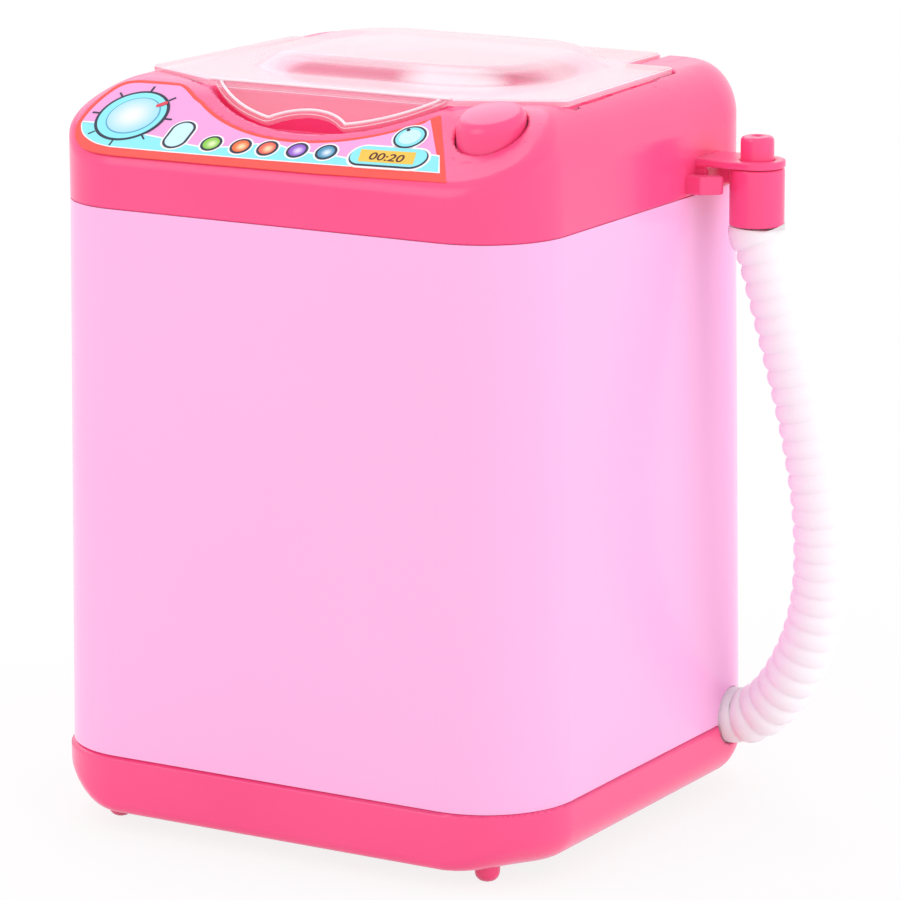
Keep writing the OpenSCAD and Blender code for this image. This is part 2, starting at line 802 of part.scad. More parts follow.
module at_ears() {
    for (a = ear_angles)
        translate([0, drum_y, 0]) rotate([0, 0, a]) translate([ear_r, 0, 0]) children();
}

module at_board_posts() {
    for (p = board_posts) translate([button_px + p[0], button_py + p[1], 0]) children();
}

module at_side(z) {
    translate([side_x - clip_root, clip_y, z]) children();
}

// one jaw of the fork that steadies the nozzle, with its elbow at the root
module jaw() {
    elbow_x = clip_root + jaw_l;
    tip_x = clip_reach + clip_root - jaw_tip_gap;
    arm_w = (jaw_out - jaw_in) / 2;
    linear_extrude(jaw_h) {
        polygon([[0, jaw_in], [elbow_x - arm_w, jaw_in], [tip_x, jaw_in - arm_w],
            [tip_x + arm_w, jaw_in], [elbow_x, jaw_out], [0, jaw_out]]);
        translate([elbow_x, jaw_out - jaw_elbow_r]) circle(r = jaw_elbow_r);
    }
}

// clip that holds the hose's nozzle: plate, web and the fork's two jaws
module hose_clip() {
    translate([clip_x, clip_y, plate_z]) cylinder(r = clip_r, h = plate_h);
    at_side(plate_z) bar(clip_reach + clip_root, 2 * clip_r, plate_h);
    at_side(jaw_z) bar(clip_root + web_l, web_w, plate_z - jaw_z + eps);
    at_side(jaw_z) for (s = [0, 1]) mirror([0, s, 0]) jaw();
}

// sealing rib, throat, hinge pan and screw posts under the deck
module cover_inside() {
    grip_form(recess_r + cover_wall, grip_depth + cover_wall, recess_join + cover_wall);
    translate([0, drum_y, rib_z]) ring(tub_out, tub_r, deck_z - rib_z);
    translate([0, drum_y, throat_z])
        ring(throat_r + throat_wall, throat_r, deck_z - throat_z);
    translate([-tongue_w / 2 - ear_w, hinge_y - pan_front, rib_z])
        cube([tongue_w + 2 * ear_w, pan_d, deck_z - rib_z]);
    translate([button_px, button_py, tube_z]) cylinder(r = tube_r, h = deck_z - tube_z);
    at_cover_screws() translate([0, 0, boss_z]) cylinder(r = thin_boss_r, h = deck_z - boss_z);
    at_ears() translate([0, 0, tub_rim]) cylinder(r = thin_boss_r, h = deck_z - tub_rim);
    at_board_posts() translate([0, 0, rim_z]) cylinder(r = board_post_r, h = cover_h);
}

module top_cover() color("#ff5a8c") in_place() {
    difference() {
        union() {
            difference() {
                cover_form(0);
                translate([0, 0, -eps]) cover_form(cover_wall);
            }
            intersection() {
                translate([0, 0, eps]) cover_form(skin);
                cover_inside();
            }
            // lower ends of the posts that stand below the seam
            at_cover_screws() translate([0, 0, boss_z]) cylinder(r = thin_boss_r, h = bite);
            at_board_posts() translate([0, 0, board_z + board_t])
                cylinder(r = board_post_r, h = rim_z + clip_root - board_z);
            hose_clip();
        }
        // seat of the lid, throat, hinge pocket and finger recess
        translate([0, 0, seat_z]) linear_extrude(past) lid_outline(free);
        translate([0, drum_y, throat_z - eps]) cylinder(r = throat_r, h = past + cover_h, $fn = 96);
        translate([-tongue_w / 2 - free, hinge_y - barrel_r - barrel_gap, pocket_z])
            cube([tongue_w + 2 * free, 2 * past, past]);
        translate([-tongue_w / 2 - pin_len - pin_end_gap, hinge_y, hinge_z]) rotate([0, 90, 0])
            cylinder(r = hinge_pin_r + run, h = tongue_w + 2 * (pin_len + pin_end_gap));
        grip_form(recess_r, grip_depth, recess_join);
        translate([button_px, button_py, tube_z - eps]) cylinder(r = well_r, h = past + cover_h);
        at_cover_screws() translate([0, 0, boss_z - eps])
            cylinder(r = screw_r + run, h = bite + screw_tip);
        at_ears() translate([0, 0, tub_rim - eps]) cylinder(r = screw_r + run, h = ear_bite + 2 * fit);
        at_board_posts() translate([0, 0, board_z]) cylinder(r = board_screw_r + run, h = past);
        translate([clip_x, clip_y, plate_z - eps])
            cylinder(r = stub_r + stub_gap, h = plate_h + 2 * eps);
    }
}

module cover_screws() color("#c9ccd1") in_place() {
    at_cover_screws() translate([0, 0, ledge_z]) screw(ledge_t + bite);
}

// printed label: a band across the panel that dips under the finger recess
module panel_label() color("#fa82cd") in_place() {
    on_panel() linear_extrude(label_t) difference() {
        union() {
            polygon(label_points);
            translate([label_dial[0], label_dial[1]]) circle(r = label_dial[2]);
        }
        translate([0, arc_t]) circle(r = recess_r + cover_wall, $fn = 96);
    }
}

// ---- power button and switch --------------------------------------------------

module power_button() color("#ff5a8c") in_place() {
    translate([button_px, button_py, flange_z]) {
        difference() {
            union() {
                cylinder(r = button_r, h = button_top + past - flange_z);
                cylinder(r = flange_r, h = flange_t);
            }
            // tilted top face
            translate([0, 0, button_top - flange_z]) rotate([button_tilt, 0, 0])
                translate([-reach / 2, -reach / 2, 0]) cube(reach);
            translate([0, 0, -eps]) cylinder(r = button_r - button_wall, h = button_hollow);
        }
        translate([0, 0, -plunger_l]) cylinder(r = plunger_r, h = button_hollow + 2 * plunger_l);
    }
}

module button_spring() color("#d4d6da") in_place() {
    translate([button_px, button_py, board_z + board_t])
        coil(spring_r, spring_r, spring_len, 3, spring_wire, 16);
}

module push_switch() color("#2f3136") in_place() {
    translate([button_px, button_py, board_z + board_t]) {
        translate([-switch_w / 2, 0, 0]) bar(switch_w, switch_w, switch_h);
        cylinder(r = switch_pin_r, h = spring_len - plunger_l - button_travel - switch_gap);
    }
}

module switch_board() color("#c8a96a") in_place() {
    translate([0, 0, board_z]) linear_extrude(board_t) difference() {
        union() {
            at_board_posts() circle(r = board_ear_r);
            translate([button_px, button_py]) {
                circle(r = board_disc_r);
                for (p = board_posts) rotate(atan2(p[1], p[0]))
                    translate([0, -board_arm_w / 2]) square([norm(p), board_arm_w]);
            }
        }
        at_board_posts() circle(r = board_screw_r + shank_gap);
    }
}

module board_screws() color("#c9ccd1") in_place() {
    at_board_posts() translate([0, 0, board_z])
        screw(board_t + board_bite, board_screw_r, board_head_r);
}

// ---- lid ----------------------------------------------------------------------

module flap_disc(r, low, high) {
    translate([0, arc_t, low]) cylinder(r = r, h = high - low, $fn = 96);
}

module notch_disc(r) {
    translate([0, notch_t, -past]) cylinder(r = r, h = 2 * past);
}

// flap that lies down the panel, with its raised rim and finger notch
module flap() {
    intersection() {
        on_panel() difference() {
            flap_disc(flap_r, flap_low, flap_high + flap_rim_h);
            difference() {
                flap_disc(flap_r - flap_rim_w, flap_high, past);
                notch_disc(notch_r + flap_rim_w);
            }
            notch_disc(notch_r);
        }
        translate([-reach / 2, bend_y + flap_join - reach, lid_top - reach]) cube(reach);
    }
}

module dome(t, h) {
    leaning_slab(dome_w - 2 * t, dome_d - 2 * t, dome_corner - t, h, dome_lean * h / dome_h);
}

module lid() color("#ffe9f2", 0.45) in_place() {
    difference() {
        union() {
            translate([0, 0, lid_z]) linear_extrude(lid_t) lid_outline(0);
            flap();
            translate([0, dome_y, lid_top - eps]) dome(0, dome_h);
            // hinge barrel with its two pins
            translate([-tongue_w / 2, hinge_y, hinge_z]) rotate([0, 90, 0])
                cylinder(r = barrel_r, h = tongue_w);
            translate([-tongue_w / 2, hinge_y - barrel_r, hinge_z])
                cube([tongue_w, 2 * barrel_r - 2 * fit, lid_z - hinge_z + eps]);
            translate([-tongue_w / 2 - pin_len, hinge_y, hinge_z]) rotate([0, 90, 0])
                cylinder(r = hinge_pin_r, h = tongue_w + 2 * pin_len);
        }
        translate([0, dome_y, lid_z - eps])
            slab(dome_w - 2 * (lid_t + dome_step), dome_d - 2 * (lid_t + dome_step),
                dome_corner - lid_t, lid_top - lid_z);
        translate([0, dome_y, lid_top - 2 * eps]) dome(lid_t, dome_h - lid_t);
    }
}

// ---- tub ----------------------------------------------------------------------

module tub() color("#f6eef4") {
    difference() {
        union() {
            at_drum() {
                difference() {
                    union() {
                        translate([0, 0, tub_under])
                            cylinder(r = tub_out - tub_chamfer, h = tub_chamfer);
                        translate([0, 0, tub_under + tub_step])
                            cylinder(r = tub_out, h = tub_rim - tub_under - tub_step);
                    }
                    translate([0, 0, tub_floor]) cylinder(r = tub_r, h = tub_depth + eps);
                }
                translate([0, 0, tub_under]) cylinder(r = seal_boss_r, h = boss_top - tub_under);
            }
            in_place() {
                at_ears() translate([0, 0, tub_rim - ear_t]) {
                    cylinder(r = thin_boss_r, h = ear_t);
                    mirror([1, 0, 0]) bar(ear_neck, 2 * thin_boss_r, ear_t);
                }
                translate([nipple_x, nipple_y, tub_under - nipple_len])
                    cylinder(r = nipple_r, h = nipple_len + eps);
                at_motor_posts(endcap_low) cylinder(r = post_r, h = tub_under - endcap_low + eps);
            }
        }
        at_drum() {
            translate([0, 0, tub_under - eps]) cylinder(r = shaft_r + shaft_hole_gap, h = past);
            translate([0, 0, tub_floor]) cylinder(r = seal_r, h = past);
        }
        in_place() {
            translate([nipple_x, nipple_y, tub_under - nipple_len - eps])
                cylinder(r = nipple_bore, h = nipple_len + tub_base_t + 2 * eps);
            at_ears() translate([0, 0, tub_rim - ear_t - eps])
                cylinder(r = screw_r + shank_gap, h = ear_t + 2 * eps);
            at_motor_posts(endcap_low - eps) cylinder(r = screw_r + run, h = bite);
        }
    }
}

module at_motor_posts(z) {
    for (x = [-post_x, post_x]) translate([x, drum_y, z]) children();
}

module tub_gasket() color("#f4f4f4") at_drum() {
    translate([0, 0, tub_rim]) ring(gasket_r, tub_r, gasket_t);
}

module tub_screws() color("#c9ccd1") in_place() {
    at_ears() translate([0, 0, tub_rim - ear_t]) screw(ear_t + ear_bite);
}

module shaft_seal() color("#3a3a3c") at_drum() {
    translate([0, 0, tub_floor]) ring(seal_r - seal_gap, shaft_r + run, boss_top - tub_floor);
}

// ---- turning parts ------------------------------------------------------------

module wash_basket() color("#fdf4fa") at_drum() translate([0, 0, basket_z]) {
    difference() {
        union() {
            cylinder(r = basket_r, h = basket_h);
            translate([0, 0, basket_h - basket_rim_h])
                cylinder(r = basket_r + basket_rim_w, h = basket_rim_h);
        }
        translate([0, 0, basket_floor_t]) cylinder(r = basket_r - basket_wall, h = basket_h);
        translate([0, 0, -eps]) cylinder(r = hex_r + fit, h = basket_floor_t + 2 * eps, $fn = 6);
        // rows of drain slots, each row half a step round from the last
        for (row = [0:slot_rows - 1], i = [0:slot_count - 1])
            rotate([0, 0, 360 * (i + (row % 2) / 2) / slot_count])
                translate([basket_r - 2 * basket_wall, 0, slot_low + row * (slot_h + slot_gap)])
                    bar(3 * basket_wall, slot_w, slot_h);
        for (i = [0:slot_count - 1]) rotate([0, 0, 360 * i / slot_count])
            translate([basket_r - drip_in, 0, -eps])
                cylinder(r = drip_r, h = basket_floor_t + 2 * eps, $fn = 16);
    }
}

module pulsator() color("#ff9fd0") at_drum() translate([0, 0, pulsator_z]) {
    difference() {
        union() {
            cylinder(r1 = pulsator_r, r2 = pulsator_r - disc_t / 2, h = disc_t);
            cylinder(r1 = cone_r, r2 = cone_top_r, h = cone_h);
            for (a = [0:90:270]) rotate([0, 0, a]) intersection() {
                translate([0, fin_t / 2 - fin_r, 0]) ring(fin_r, fin_r - fin_t, fin_h);
                translate([0, -fin_start, 0])
                    cube([pulsator_r - fin_end, 2 * fin_r, 2 * fin_h]);
            }
        }
        translate([0, 0, -eps])
            cylinder(r = hex_r + fit, h = hub_top - pulsator_z + fit + eps, $fn = 6);
    }
}

module drive_hub() color("#f2efe6") at_drum() {
    difference() {
        union() {
            translate([0, 0, hub_z]) cylinder(r = hub_flange_r, h = hub_flange_t - hub_gap);
            translate([0, 0, hub_z]) cylinder(r = hex_r, h = hub_top - hub_z, $fn = 6);
        }
        translate([0, 0, hub_z - eps])
            cylinder(r = shaft_r + seal_gap, h = hub_top - hub_cap + fit - hub_z + eps);
    }
}

module motor_shaft() color("#c4c7cc") at_drum() {
    translate([0, 0, can_low + shaft_in])
        cylinder(r = shaft_r, h = hub_top - hub_cap - can_low - shaft_in);
}

// ---- motor --------------------------------------------------------------------

module can_section() {
    intersection() {
        circle(r = motor_w / 2);
        square([motor_w, motor_flat], center = true);
    }
}

module motor_can() color("#b9bcc2") at_drum() {
    difference() {
        union() {
            translate([0, 0, can_low]) linear_extrude(motor_h) can_section();
            translate([0, 0, can_top - eps]) cylinder(r = neck_r, h = can_gap);
        }
        translate([0, 0, can_low - eps]) cylinder(r = shaft_r + run, h = motor_h + past);
    }
}

module motor_endcap() color("#f0f0ea") at_drum() {
    translate([0, 0, endcap_low]) linear_extrude(endcap_t) can_section();
}

module motor_bracket() color("#ff9fd0") in_place() {
    difference() {
        union() {
            translate([-post_x, drum_y, endcap_low - bracket_t])
                bar(2 * post_x, bracket_w, bracket_t);
            at_motor_posts(endcap_low - bracket_t) cylinder(r = bracket_w / 2, h = bracket_t);
        }
        at_motor_posts(endcap_low - bracket_t - eps)
            cylinder(r = screw_r + shank_gap, h = bracket_t + 2 * eps);
        translate([0, drum_y, endcap_low - bracket_t - eps])
            cylinder(r = bracket_hole_r, h = bracket_t + 2 * eps);
    }
}

module bracket_screws() color("#c9ccd1") in_place() {
    at_motor_posts(endcap_low - bracket_t) screw(bracket_t + post_bite);
}

// ---- drain --------------------------------------------------------------------

// pipe down from the tub's nipple, round a bend and out towards the cabinet's side
module drain_pipe() color("#f7e8f2") in_place() {
    bore = nipple_r + fit;
    low = outlet_z + elbow_r;
    translate([nipple_x, nipple_y, low]) ring(pipe_r, bore, tub_under - pipe_gap - low);
    translate([nipple_x + elbow_r, nipple_y, low]) rotate([90, 0, 0]) rotate([0, 0, 180])
        rotate_extrude(angle = 90) translate([elbow_r, 0]) difference() {
            circle(r = pipe_r);
            circle(r = bore);
        }
    at_outlet(nipple_x + elbow_r) ring(pipe_r, bore, pipe_end_x - nipple_x - elbow_r);
}

module drain_spigot() color("#fdf3fb") in_place() {
    at_outlet(spigot_flange_x) difference() {
        union() {
            translate([0, 0, -spigot_nipple_l])
                cylinder(r = nipple_r, h = spigot_nipple_l + spigot_flange_t);
            cylinder(r = spigot_flange_r, h = spigot_flange_t);
            cylinder(r = spigot_r, h = outlet_x - spigot_flange_x + spigot_end);
        }
        translate([0, 0, -spigot_nipple_l - eps]) cylinder(r = nipple_bore, h = 2 * past);
    }
}

module drain_hose() color("#fdf3fb") in_place() {
    tube(hose_route, hose_d / 2, hose_sides, [0, 1, 0]);
}

module hose_nozzle() color("#ff5a8c") in_place() {
    translate([clip_x, clip_y, 0]) {
        translate([0, 0, nozzle_low]) cylinder(r = nozzle_r, h = nozzle_h);
        translate([0, 0, nozzle_top - eps])
            cylinder(r = stub_r, h = plate_h + stub_h - stub_chamfer + 2 * eps);
        translate([0, 0, nozzle_top + plate_h + stub_h - stub_chamfer])
            cylinder(r1 = stub_r, r2 = stub_r - stub_chamfer, h = stub_chamfer);
    }
}

base_tray();
battery_door();
battery_door_screw();
battery_cells();
contact_springs();
contact_plates();
cabinet();
case_screws();
top_cover();
cover_screws();
panel_label();
power_button();
button_spring();
push_switch();
switch_board();
board_screws();
lid();
tub();
tub_gasket();
tub_screws();
shaft_seal();
wash_basket();
pulsator();
drive_hub();
motor_shaft();
motor_can();
motor_endcap();
motor_bracket();
bracket_screws();
drain_pipe();
drain_spigot();
drain_hose();
hose_nozzle();
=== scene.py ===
# %% [markdown]
# # A toy washing machine, dressed over its construction model
# The frame holds every hard part at its real size. This script gives those parts their
# surfaces, and casts the moulded pieces again with the soft edges that a steel mould leaves.
# Everything is written in millimetres and turned into metres when a mesh is made.

# %% Load the frame
import math
from functools import partial, reduce

import bmesh
import bpy
import numpy as np
from mathutils import Matrix, Vector


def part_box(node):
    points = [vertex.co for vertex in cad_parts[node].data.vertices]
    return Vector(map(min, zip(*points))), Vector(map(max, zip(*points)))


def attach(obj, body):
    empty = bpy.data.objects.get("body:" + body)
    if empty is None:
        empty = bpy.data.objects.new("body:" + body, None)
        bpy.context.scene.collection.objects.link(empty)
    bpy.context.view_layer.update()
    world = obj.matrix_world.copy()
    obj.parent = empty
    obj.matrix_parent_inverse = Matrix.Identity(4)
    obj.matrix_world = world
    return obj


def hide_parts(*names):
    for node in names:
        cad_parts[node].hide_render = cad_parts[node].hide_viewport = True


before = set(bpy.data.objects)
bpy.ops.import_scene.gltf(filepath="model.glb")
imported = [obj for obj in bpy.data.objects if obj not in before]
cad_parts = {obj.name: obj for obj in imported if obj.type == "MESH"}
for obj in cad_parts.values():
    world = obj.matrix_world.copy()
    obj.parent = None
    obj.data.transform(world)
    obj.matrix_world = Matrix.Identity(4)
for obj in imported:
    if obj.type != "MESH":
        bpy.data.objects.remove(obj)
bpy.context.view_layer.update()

MM = 0.001

# %% [markdown]
# ## Sizes taken from the frame
# The cabinet's middle isn't the middle of the whole toy, because the hose clip reaches out
# on one side. Pieces below are shaped about the cabinet's middle and moved there at the end.

# %% Measure the frame
def span(node):
    """Lowest and highest corner of a part, in millimetres."""
    low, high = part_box(node)
    return np.array(low) / MM, np.array(high) / MM


tray_low, tray_high = span("base_tray")
cover_low, cover_high = span("top_cover")
basket_low, basket_high = span("wash_basket")
button_low, button_high = span("power_button")
nozzle_low, nozzle_high = span("hose_nozzle")

MID_X = (tray_low[0] + tray_high[0]) / 2
HALF_W = MID_X - cover_low[0]
HALF_D = cover_high[1]
DECK_Z = cover_high[2]
COVER_H = 18.25
RIM_Z = DECK_Z - COVER_H
SKIRT_H = 8.25
RIDGE_Z = RIM_Z + SKIRT_H
FRONT_Y = -HALF_D
CORNER_R = 13.9
PANEL_ANGLE = math.radians(30)
COVER_WALL = 1.6
DRUM_Y = (basket_low[1] + basket_high[1]) / 2
print(f"cabinet {2 * HALF_W:.1f} x {2 * HALF_D:.1f} mm, its middle at x = {MID_X:.3f}")

# %% [markdown]
# ## Camera
# A long lens from a little above, turned to show the front and the right side. The angles
# turn round a point at half the toy's height, and the small shift frames it as a packshot.

# %% Camera
CAMERA_AZIMUTH = math.radians(31.36)
CAMERA_ELEVATION = math.radians(12.79)
CAMERA_ROLL = math.radians(-0.37)
CAMERA_DISTANCE = 793.45
CAMERA_AIM = Vector((MID_X, 0, 60))
CAMERA_LENS = 197.51
CAMERA_SHIFT = (0.0472, -0.0163)

toward = Vector((math.sin(CAMERA_AZIMUTH) * math.cos(CAMERA_ELEVATION),
                 -math.cos(CAMERA_AZIMUTH) * math.cos(CAMERA_ELEVATION),
                 math.sin(CAMERA_ELEVATION)))
level_right = Vector((math.cos(CAMERA_AZIMUTH), math.sin(CAMERA_AZIMUTH), 0))
level_up = toward.cross(level_right)
right = level_right * math.cos(CAMERA_ROLL) + level_up * math.sin(CAMERA_ROLL)
up = level_up * math.cos(CAMERA_ROLL) - level_right * math.sin(CAMERA_ROLL)

camera = bpy.data.objects.new("packshot_camera", bpy.data.cameras.new("packshot_camera"))
bpy.context.scene.collection.objects.link(camera)
turn = Matrix((right, up, toward)).transposed().to_4x4()
camera.matrix_world = Matrix.Translation((CAMERA_AIM + toward * CAMERA_DISTANCE) * MM) @ turn
camera.data.sensor_width = 36
camera.data.lens = CAMERA_LENS
camera.data.shift_x, camera.data.shift_y = CAMERA_SHIFT
camera.data.clip_start, camera.data.clip_end = 0.05, 20
bpy.context.scene.camera = camera
print("camera at", [round(v, 3) for v in camera.matrix_world.translation])

# %% [markdown]
# ## Helpers for node trees
# Materials and Geometry Nodes are both trees. A small function adds a node, sets its options
# and fills or links its inputs, and a few more make sums, smooth steps and mixes with it, so
# that a tree reads as a list of steps.

# %% Node helpers
def fill(tree, socket, value):
    """Sets a node's input to a value, or links it to another node's output."""
    if isinstance(value, bpy.types.NodeSocket):
        tree.links.new(value, socket)
    else:
        socket.default_value = value


def add(tree, kind, inputs=None, **options):
    """Adds a node to a tree; inputs maps a socket's name or number to a value or a link."""
    node = tree.nodes.new(kind)
    for key, value in options.items():
        setattr(node, key, value)
    for key, value in (inputs or {}).items():
        fill(tree, node.inputs[key], value)
    return node


def math_node(tree, operation, first, second=0.0):
    """The result of one sum in a tree."""
    return add(tree, "ShaderNodeMath", {0: first, 1: second}, operation=operation).outputs[0]


def ramp(tree, value, start, end, low, high):
    """A smooth step in a tree, from low to high while the value goes from start to end."""
    return add(tree, "ShaderNodeMapRange", {"Value": value, "From Min": start, "From Max": end,
                                            "To Min": low, "To Max": high},
               interpolation_type="SMOOTHSTEP").outputs["Result"]


def blend_colours(tree, share, first, second):
    """A mix of two colours in a tree; the share says how much is of the second."""
    mix = add(tree, "ShaderNodeMix", {0: share}, data_type="RGBA")
    for socket, value in zip([s for s in mix.inputs if s.type == "RGBA"], (first, second)):
        fill(tree, socket, value)
    return [s for s in mix.outputs if s.type == "RGBA"][0]


def background_rays(tree):
    """1 for rays that look at the background: straight, in a mirror or through glass."""
    path = add(tree, "ShaderNodeLightPath").outputs
    seen = math_node(tree, "MAXIMUM", path["Is Camera Ray"], path["Is Glossy Ray"])
    return math_node(tree, "MAXIMUM", seen, path["Is Transmission Ray"])


def colour(red, green, blue):
    """A linear colour from the 0 to 255 values that a colour chart gives."""
    values = [v / 255 for v in (red, green, blue)]
    return (*[v / 12.92 if v <= 0.04045 else ((v + 0.055) / 1.055) ** 2.4 for v in values], 1.0)

# %% Object and mesh helpers
def new_object(name, data):
    """An object in the scene that carries the data."""
    thing = bpy.data.objects.new(name, data)
    bpy.context.scene.collection.objects.link(thing)
    return thing


def mesh_of(source):
    """The plain mesh that an object ends up with; the object itself goes."""
    evaluated = source.evaluated_get(bpy.context.evaluated_depsgraph_get())
    mesh = bpy.data.meshes.new_from_object(evaluated)
    bpy.data.objects.remove(source)
    return mesh


def read(items, name, width, kind=np.float32):
    """One property of all of a mesh's vertices, edges or corners, a row for each."""
    values = np.zeros(len(items) * width, kind)
    items.foreach_get(name, values)
    return values.reshape(-1, width)

# %% [markdown]
# ## Moulded plastic
# Glossy toy plastic is one colour all through, but never quite even: the pigment clouds a
# little, the surface has a faint orange-peel ripple and handling leaves duller patches. Two
# noise textures on Object coordinates give all three, so no piece needs a UV map.

# %% Plastic
def plastic(name, tint, roughness=0.2, clouding=0.05, ripple=0.012, coat=0.0, specular=0.5):
    """An opaque moulded plastic with clouded pigment, uneven gloss and a faint ripple."""
    material = bpy.data.materials.new(name)
    material.use_nodes = True
    material.diffuse_color = tint
    tree = material.node_tree
    shader = tree.nodes["Principled BSDF"]
    place = add(tree, "ShaderNodeTexCoord").outputs["Object"]
    clouds = add(tree, "ShaderNodeTexNoise", {"Vector": place, "Scale": 22.0, "Detail": 3.0})
    peel = add(tree, "ShaderNodeTexNoise", {"Vector": place, "Scale": 420.0, "Detail": 2.0})
    pale = tuple(c + (1 - c) * clouding for c in tint[:3]) + (1.0,)
    deep = tuple(c * (1 - clouding) for c in tint[:3]) + (1.0,)
    pigment = blend_colours(tree, clouds.outputs["Fac"], deep, pale)
    gloss = add(tree, "ShaderNodeMapRange", {"Value": clouds.outputs["Fac"],
                                             "To Min": roughness * 0.8,
                                             "To Max": roughness * 1.25})
    bump = add(tree, "ShaderNodeBump", {"Height": peel.outputs["Fac"], "Strength": ripple * 10,
                                        "Distance": 0.0002})
    tree.links.new(pigment, shader.inputs["Base Color"])
    tree.links.new(gloss.outputs["Result"], shader.inputs["Roughness"])
    tree.links.new(bump.outputs["Normal"], shader.inputs["Normal"])
    set_shader(material, {"Coat Weight": coat, "Coat Roughness": 0.12,
                          "Specular IOR Level": specular})
    return material


def set_shader(material, values):
    """Sets constants on the material's main shader."""
    for name, value in values.items():
        material.node_tree.nodes["Principled BSDF"].inputs[name].default_value = value


hot_pink = plastic("hot_pink_plastic", colour(255, 61, 132), roughness=0.24, coat=0.15)
set_shader(hot_pink, {"Sheen Weight": 0.3, "Sheen Roughness": 0.3,
                      "Sheen Tint": (0.9, 0.65, 1.0, 1.0)})
pale_pink = plastic("pale_pink_plastic", colour(255, 183, 231), roughness=0.16, clouding=0.03)
print("plastics:", hot_pink.name, pale_pink.name)

# %% [markdown]
# ## Drain hose
# The hose is the one soft part: a corrugated tube of soft white vinyl that leaves the spigot
# low on the right side, bows out and rises into its nozzle. Its line is a handful of given
# points; a Catmull-Rom curve runs through them, and Geometry Nodes sweep a ring along it whose
# radius swells once for each rib.

# %% Hose line
HOSE_D = 9.2
HOSE_ROUTE = [(45.7, 27, 13.2), (46.9, 27, 13.2), (49.7, 26.9, 14.3), (53, 26.7, 17.1),
              (56.1, 26.3, 21.3), (58.8, 25.9, 26.5), (60.8, 25.4, 32.2), (61.9, 24.9, 38.4),
              (62.2, 24.4, 44.8), (62, 23.8, 51.4), (61.2, 23.3, 58), (60.1, 22.7, 64.6),
              (58.7, 22.2, 71), (57.3, 21.6, 77.2), (55.9, 21.1, 83), (54.7, 20.6, 88),
              (53.9, 20.3, 91.2), (53.1, 20.15, 93.2), (52.5, 20.03, 94.4), (52.3, 20, 95.1),
              (52.3, 20, 95.65)]


def through(points, steps):
    """Points on a smooth curve that passes through each of the given ones."""
    knots = np.array([points[0], *points, points[-1]], float)
    line = []
    for before, start, end, after in zip(knots, knots[1:], knots[2:], knots[3:]):
        for t in np.arange(steps) / steps:
            line.append(0.5 * (2 * start + (end - before) * t
                               + (2 * before - 5 * start + 4 * end - after) * t ** 2
                               + (3 * start - before - 3 * end + after) * t ** 3))
    return np.array([*line, knots[-1]])


hose_line = (through(HOSE_ROUTE, 6) + (MID_X, 0, 0)) * MM

# %% Helpers for node groups
def title(name):
    """A socket's name as people read it."""
    return name.replace("_", " ").title()


def open_tree(name, **kinds):
    """A node group with the named inputs, and the sockets that carry them."""
    tree = bpy.data.node_groups.new(name, "GeometryNodeTree")
    for key, kind in kinds.items():
        tree.interface.new_socket(title(key), in_out="INPUT", socket_type="NodeSocket" + kind)
    tree.interface.new_socket("Mesh", in_out="OUTPUT", socket_type="NodeSocketGeometry")
    return tree, add(tree, "NodeGroupInput").outputs


def close_tree(tree, given, geometry):
    """Ends a node group: instances become real and take the material."""
    real = add(tree, "GeometryNodeRealizeInstances", {"Geometry": geometry})
    done = add(tree, "GeometryNodeSetMaterial", {"Geometry": real.outputs["Geometry"],
                                                 "Material": given["Material"]})
    add(tree, "NodeGroupOutput", {"Mesh": done.outputs["Geometry"]})
    return tree

# %% Corrugated tube as a node group
RIB_STEPS, RIB_BLUNTNESS, RIB_START = 12.0, 2.6, 0.35


def corrugated_tube_tree():
    """A tree that sweeps a ribbed tube along a curve: inputs for radius, rib depth and pitch."""
    tree, given = open_tree("corrugated_tube", line="Geometry", radius="Float",
                            rib_depth="Float", pitch="Float", material="Material")
    calc = partial(math_node, tree)
    step = calc("DIVIDE", given["Pitch"], RIB_STEPS)
    line = add(tree, "GeometryNodeResampleCurve", {"Curve": given["Line"], "Length": step},
               mode="LENGTH")
    along = add(tree, "GeometryNodeSplineParameter").outputs["Length"]
    turns = calc("DIVIDE", along, given["Pitch"])
    phase = calc("FRACT", calc("ADD", turns, RIB_START))
    across = calc("SUBTRACT", calc("MULTIPLY", phase, 2.0), 1.0)
    hollow = calc("POWER", calc("ABSOLUTE", across), RIB_BLUNTNESS)
    dip = calc("MULTIPLY", hollow, given["Rib Depth"])
    radius = calc("SUBTRACT", given["Radius"], dip)
    ring = add(tree, "GeometryNodeCurvePrimitiveCircle", {"Resolution": 40, "Radius": 1.0})
    tube = add(tree, "GeometryNodeCurveToMesh", {"Curve": line.outputs["Curve"],
                                                 "Profile Curve": ring.outputs["Curve"],
                                                 "Scale": radius, "Fill Caps": True})
    smooth = add(tree, "GeometryNodeSetShadeSmooth", {"Geometry": tube.outputs["Mesh"]})
    return close_tree(tree, given, smooth.outputs["Geometry"])


def grow(name, source, tree, **values):
    """Runs a node group on an object and keeps only the plain mesh that it makes."""
    modifier = source.modifiers.new(name, "NODES")
    modifier.node_group = tree
    named = {item.name: item.identifier for item in tree.interface.items_tree
             if item.item_type == "SOCKET" and item.in_out == "INPUT"}
    for key, value in values.items():
        modifier[named[title(key)]] = value
    mesh = mesh_of(source)
    mesh.name = name
    print(f"{name}: {len(mesh.polygons)} faces")
    return new_object(name, mesh)

# %% Soft vinyl and the hose itself
def soft_vinyl(name, tint):
    """Milky vinyl: light goes a little way in, and the skin has a soft shine."""
    material = plastic(name, tint, roughness=0.34, clouding=0.02)
    set_shader(material, {"Subsurface Weight": 0.35, "Subsurface Scale": 1.0,
                          "Subsurface Radius": (0.004, 0.003, 0.0035)})
    return material


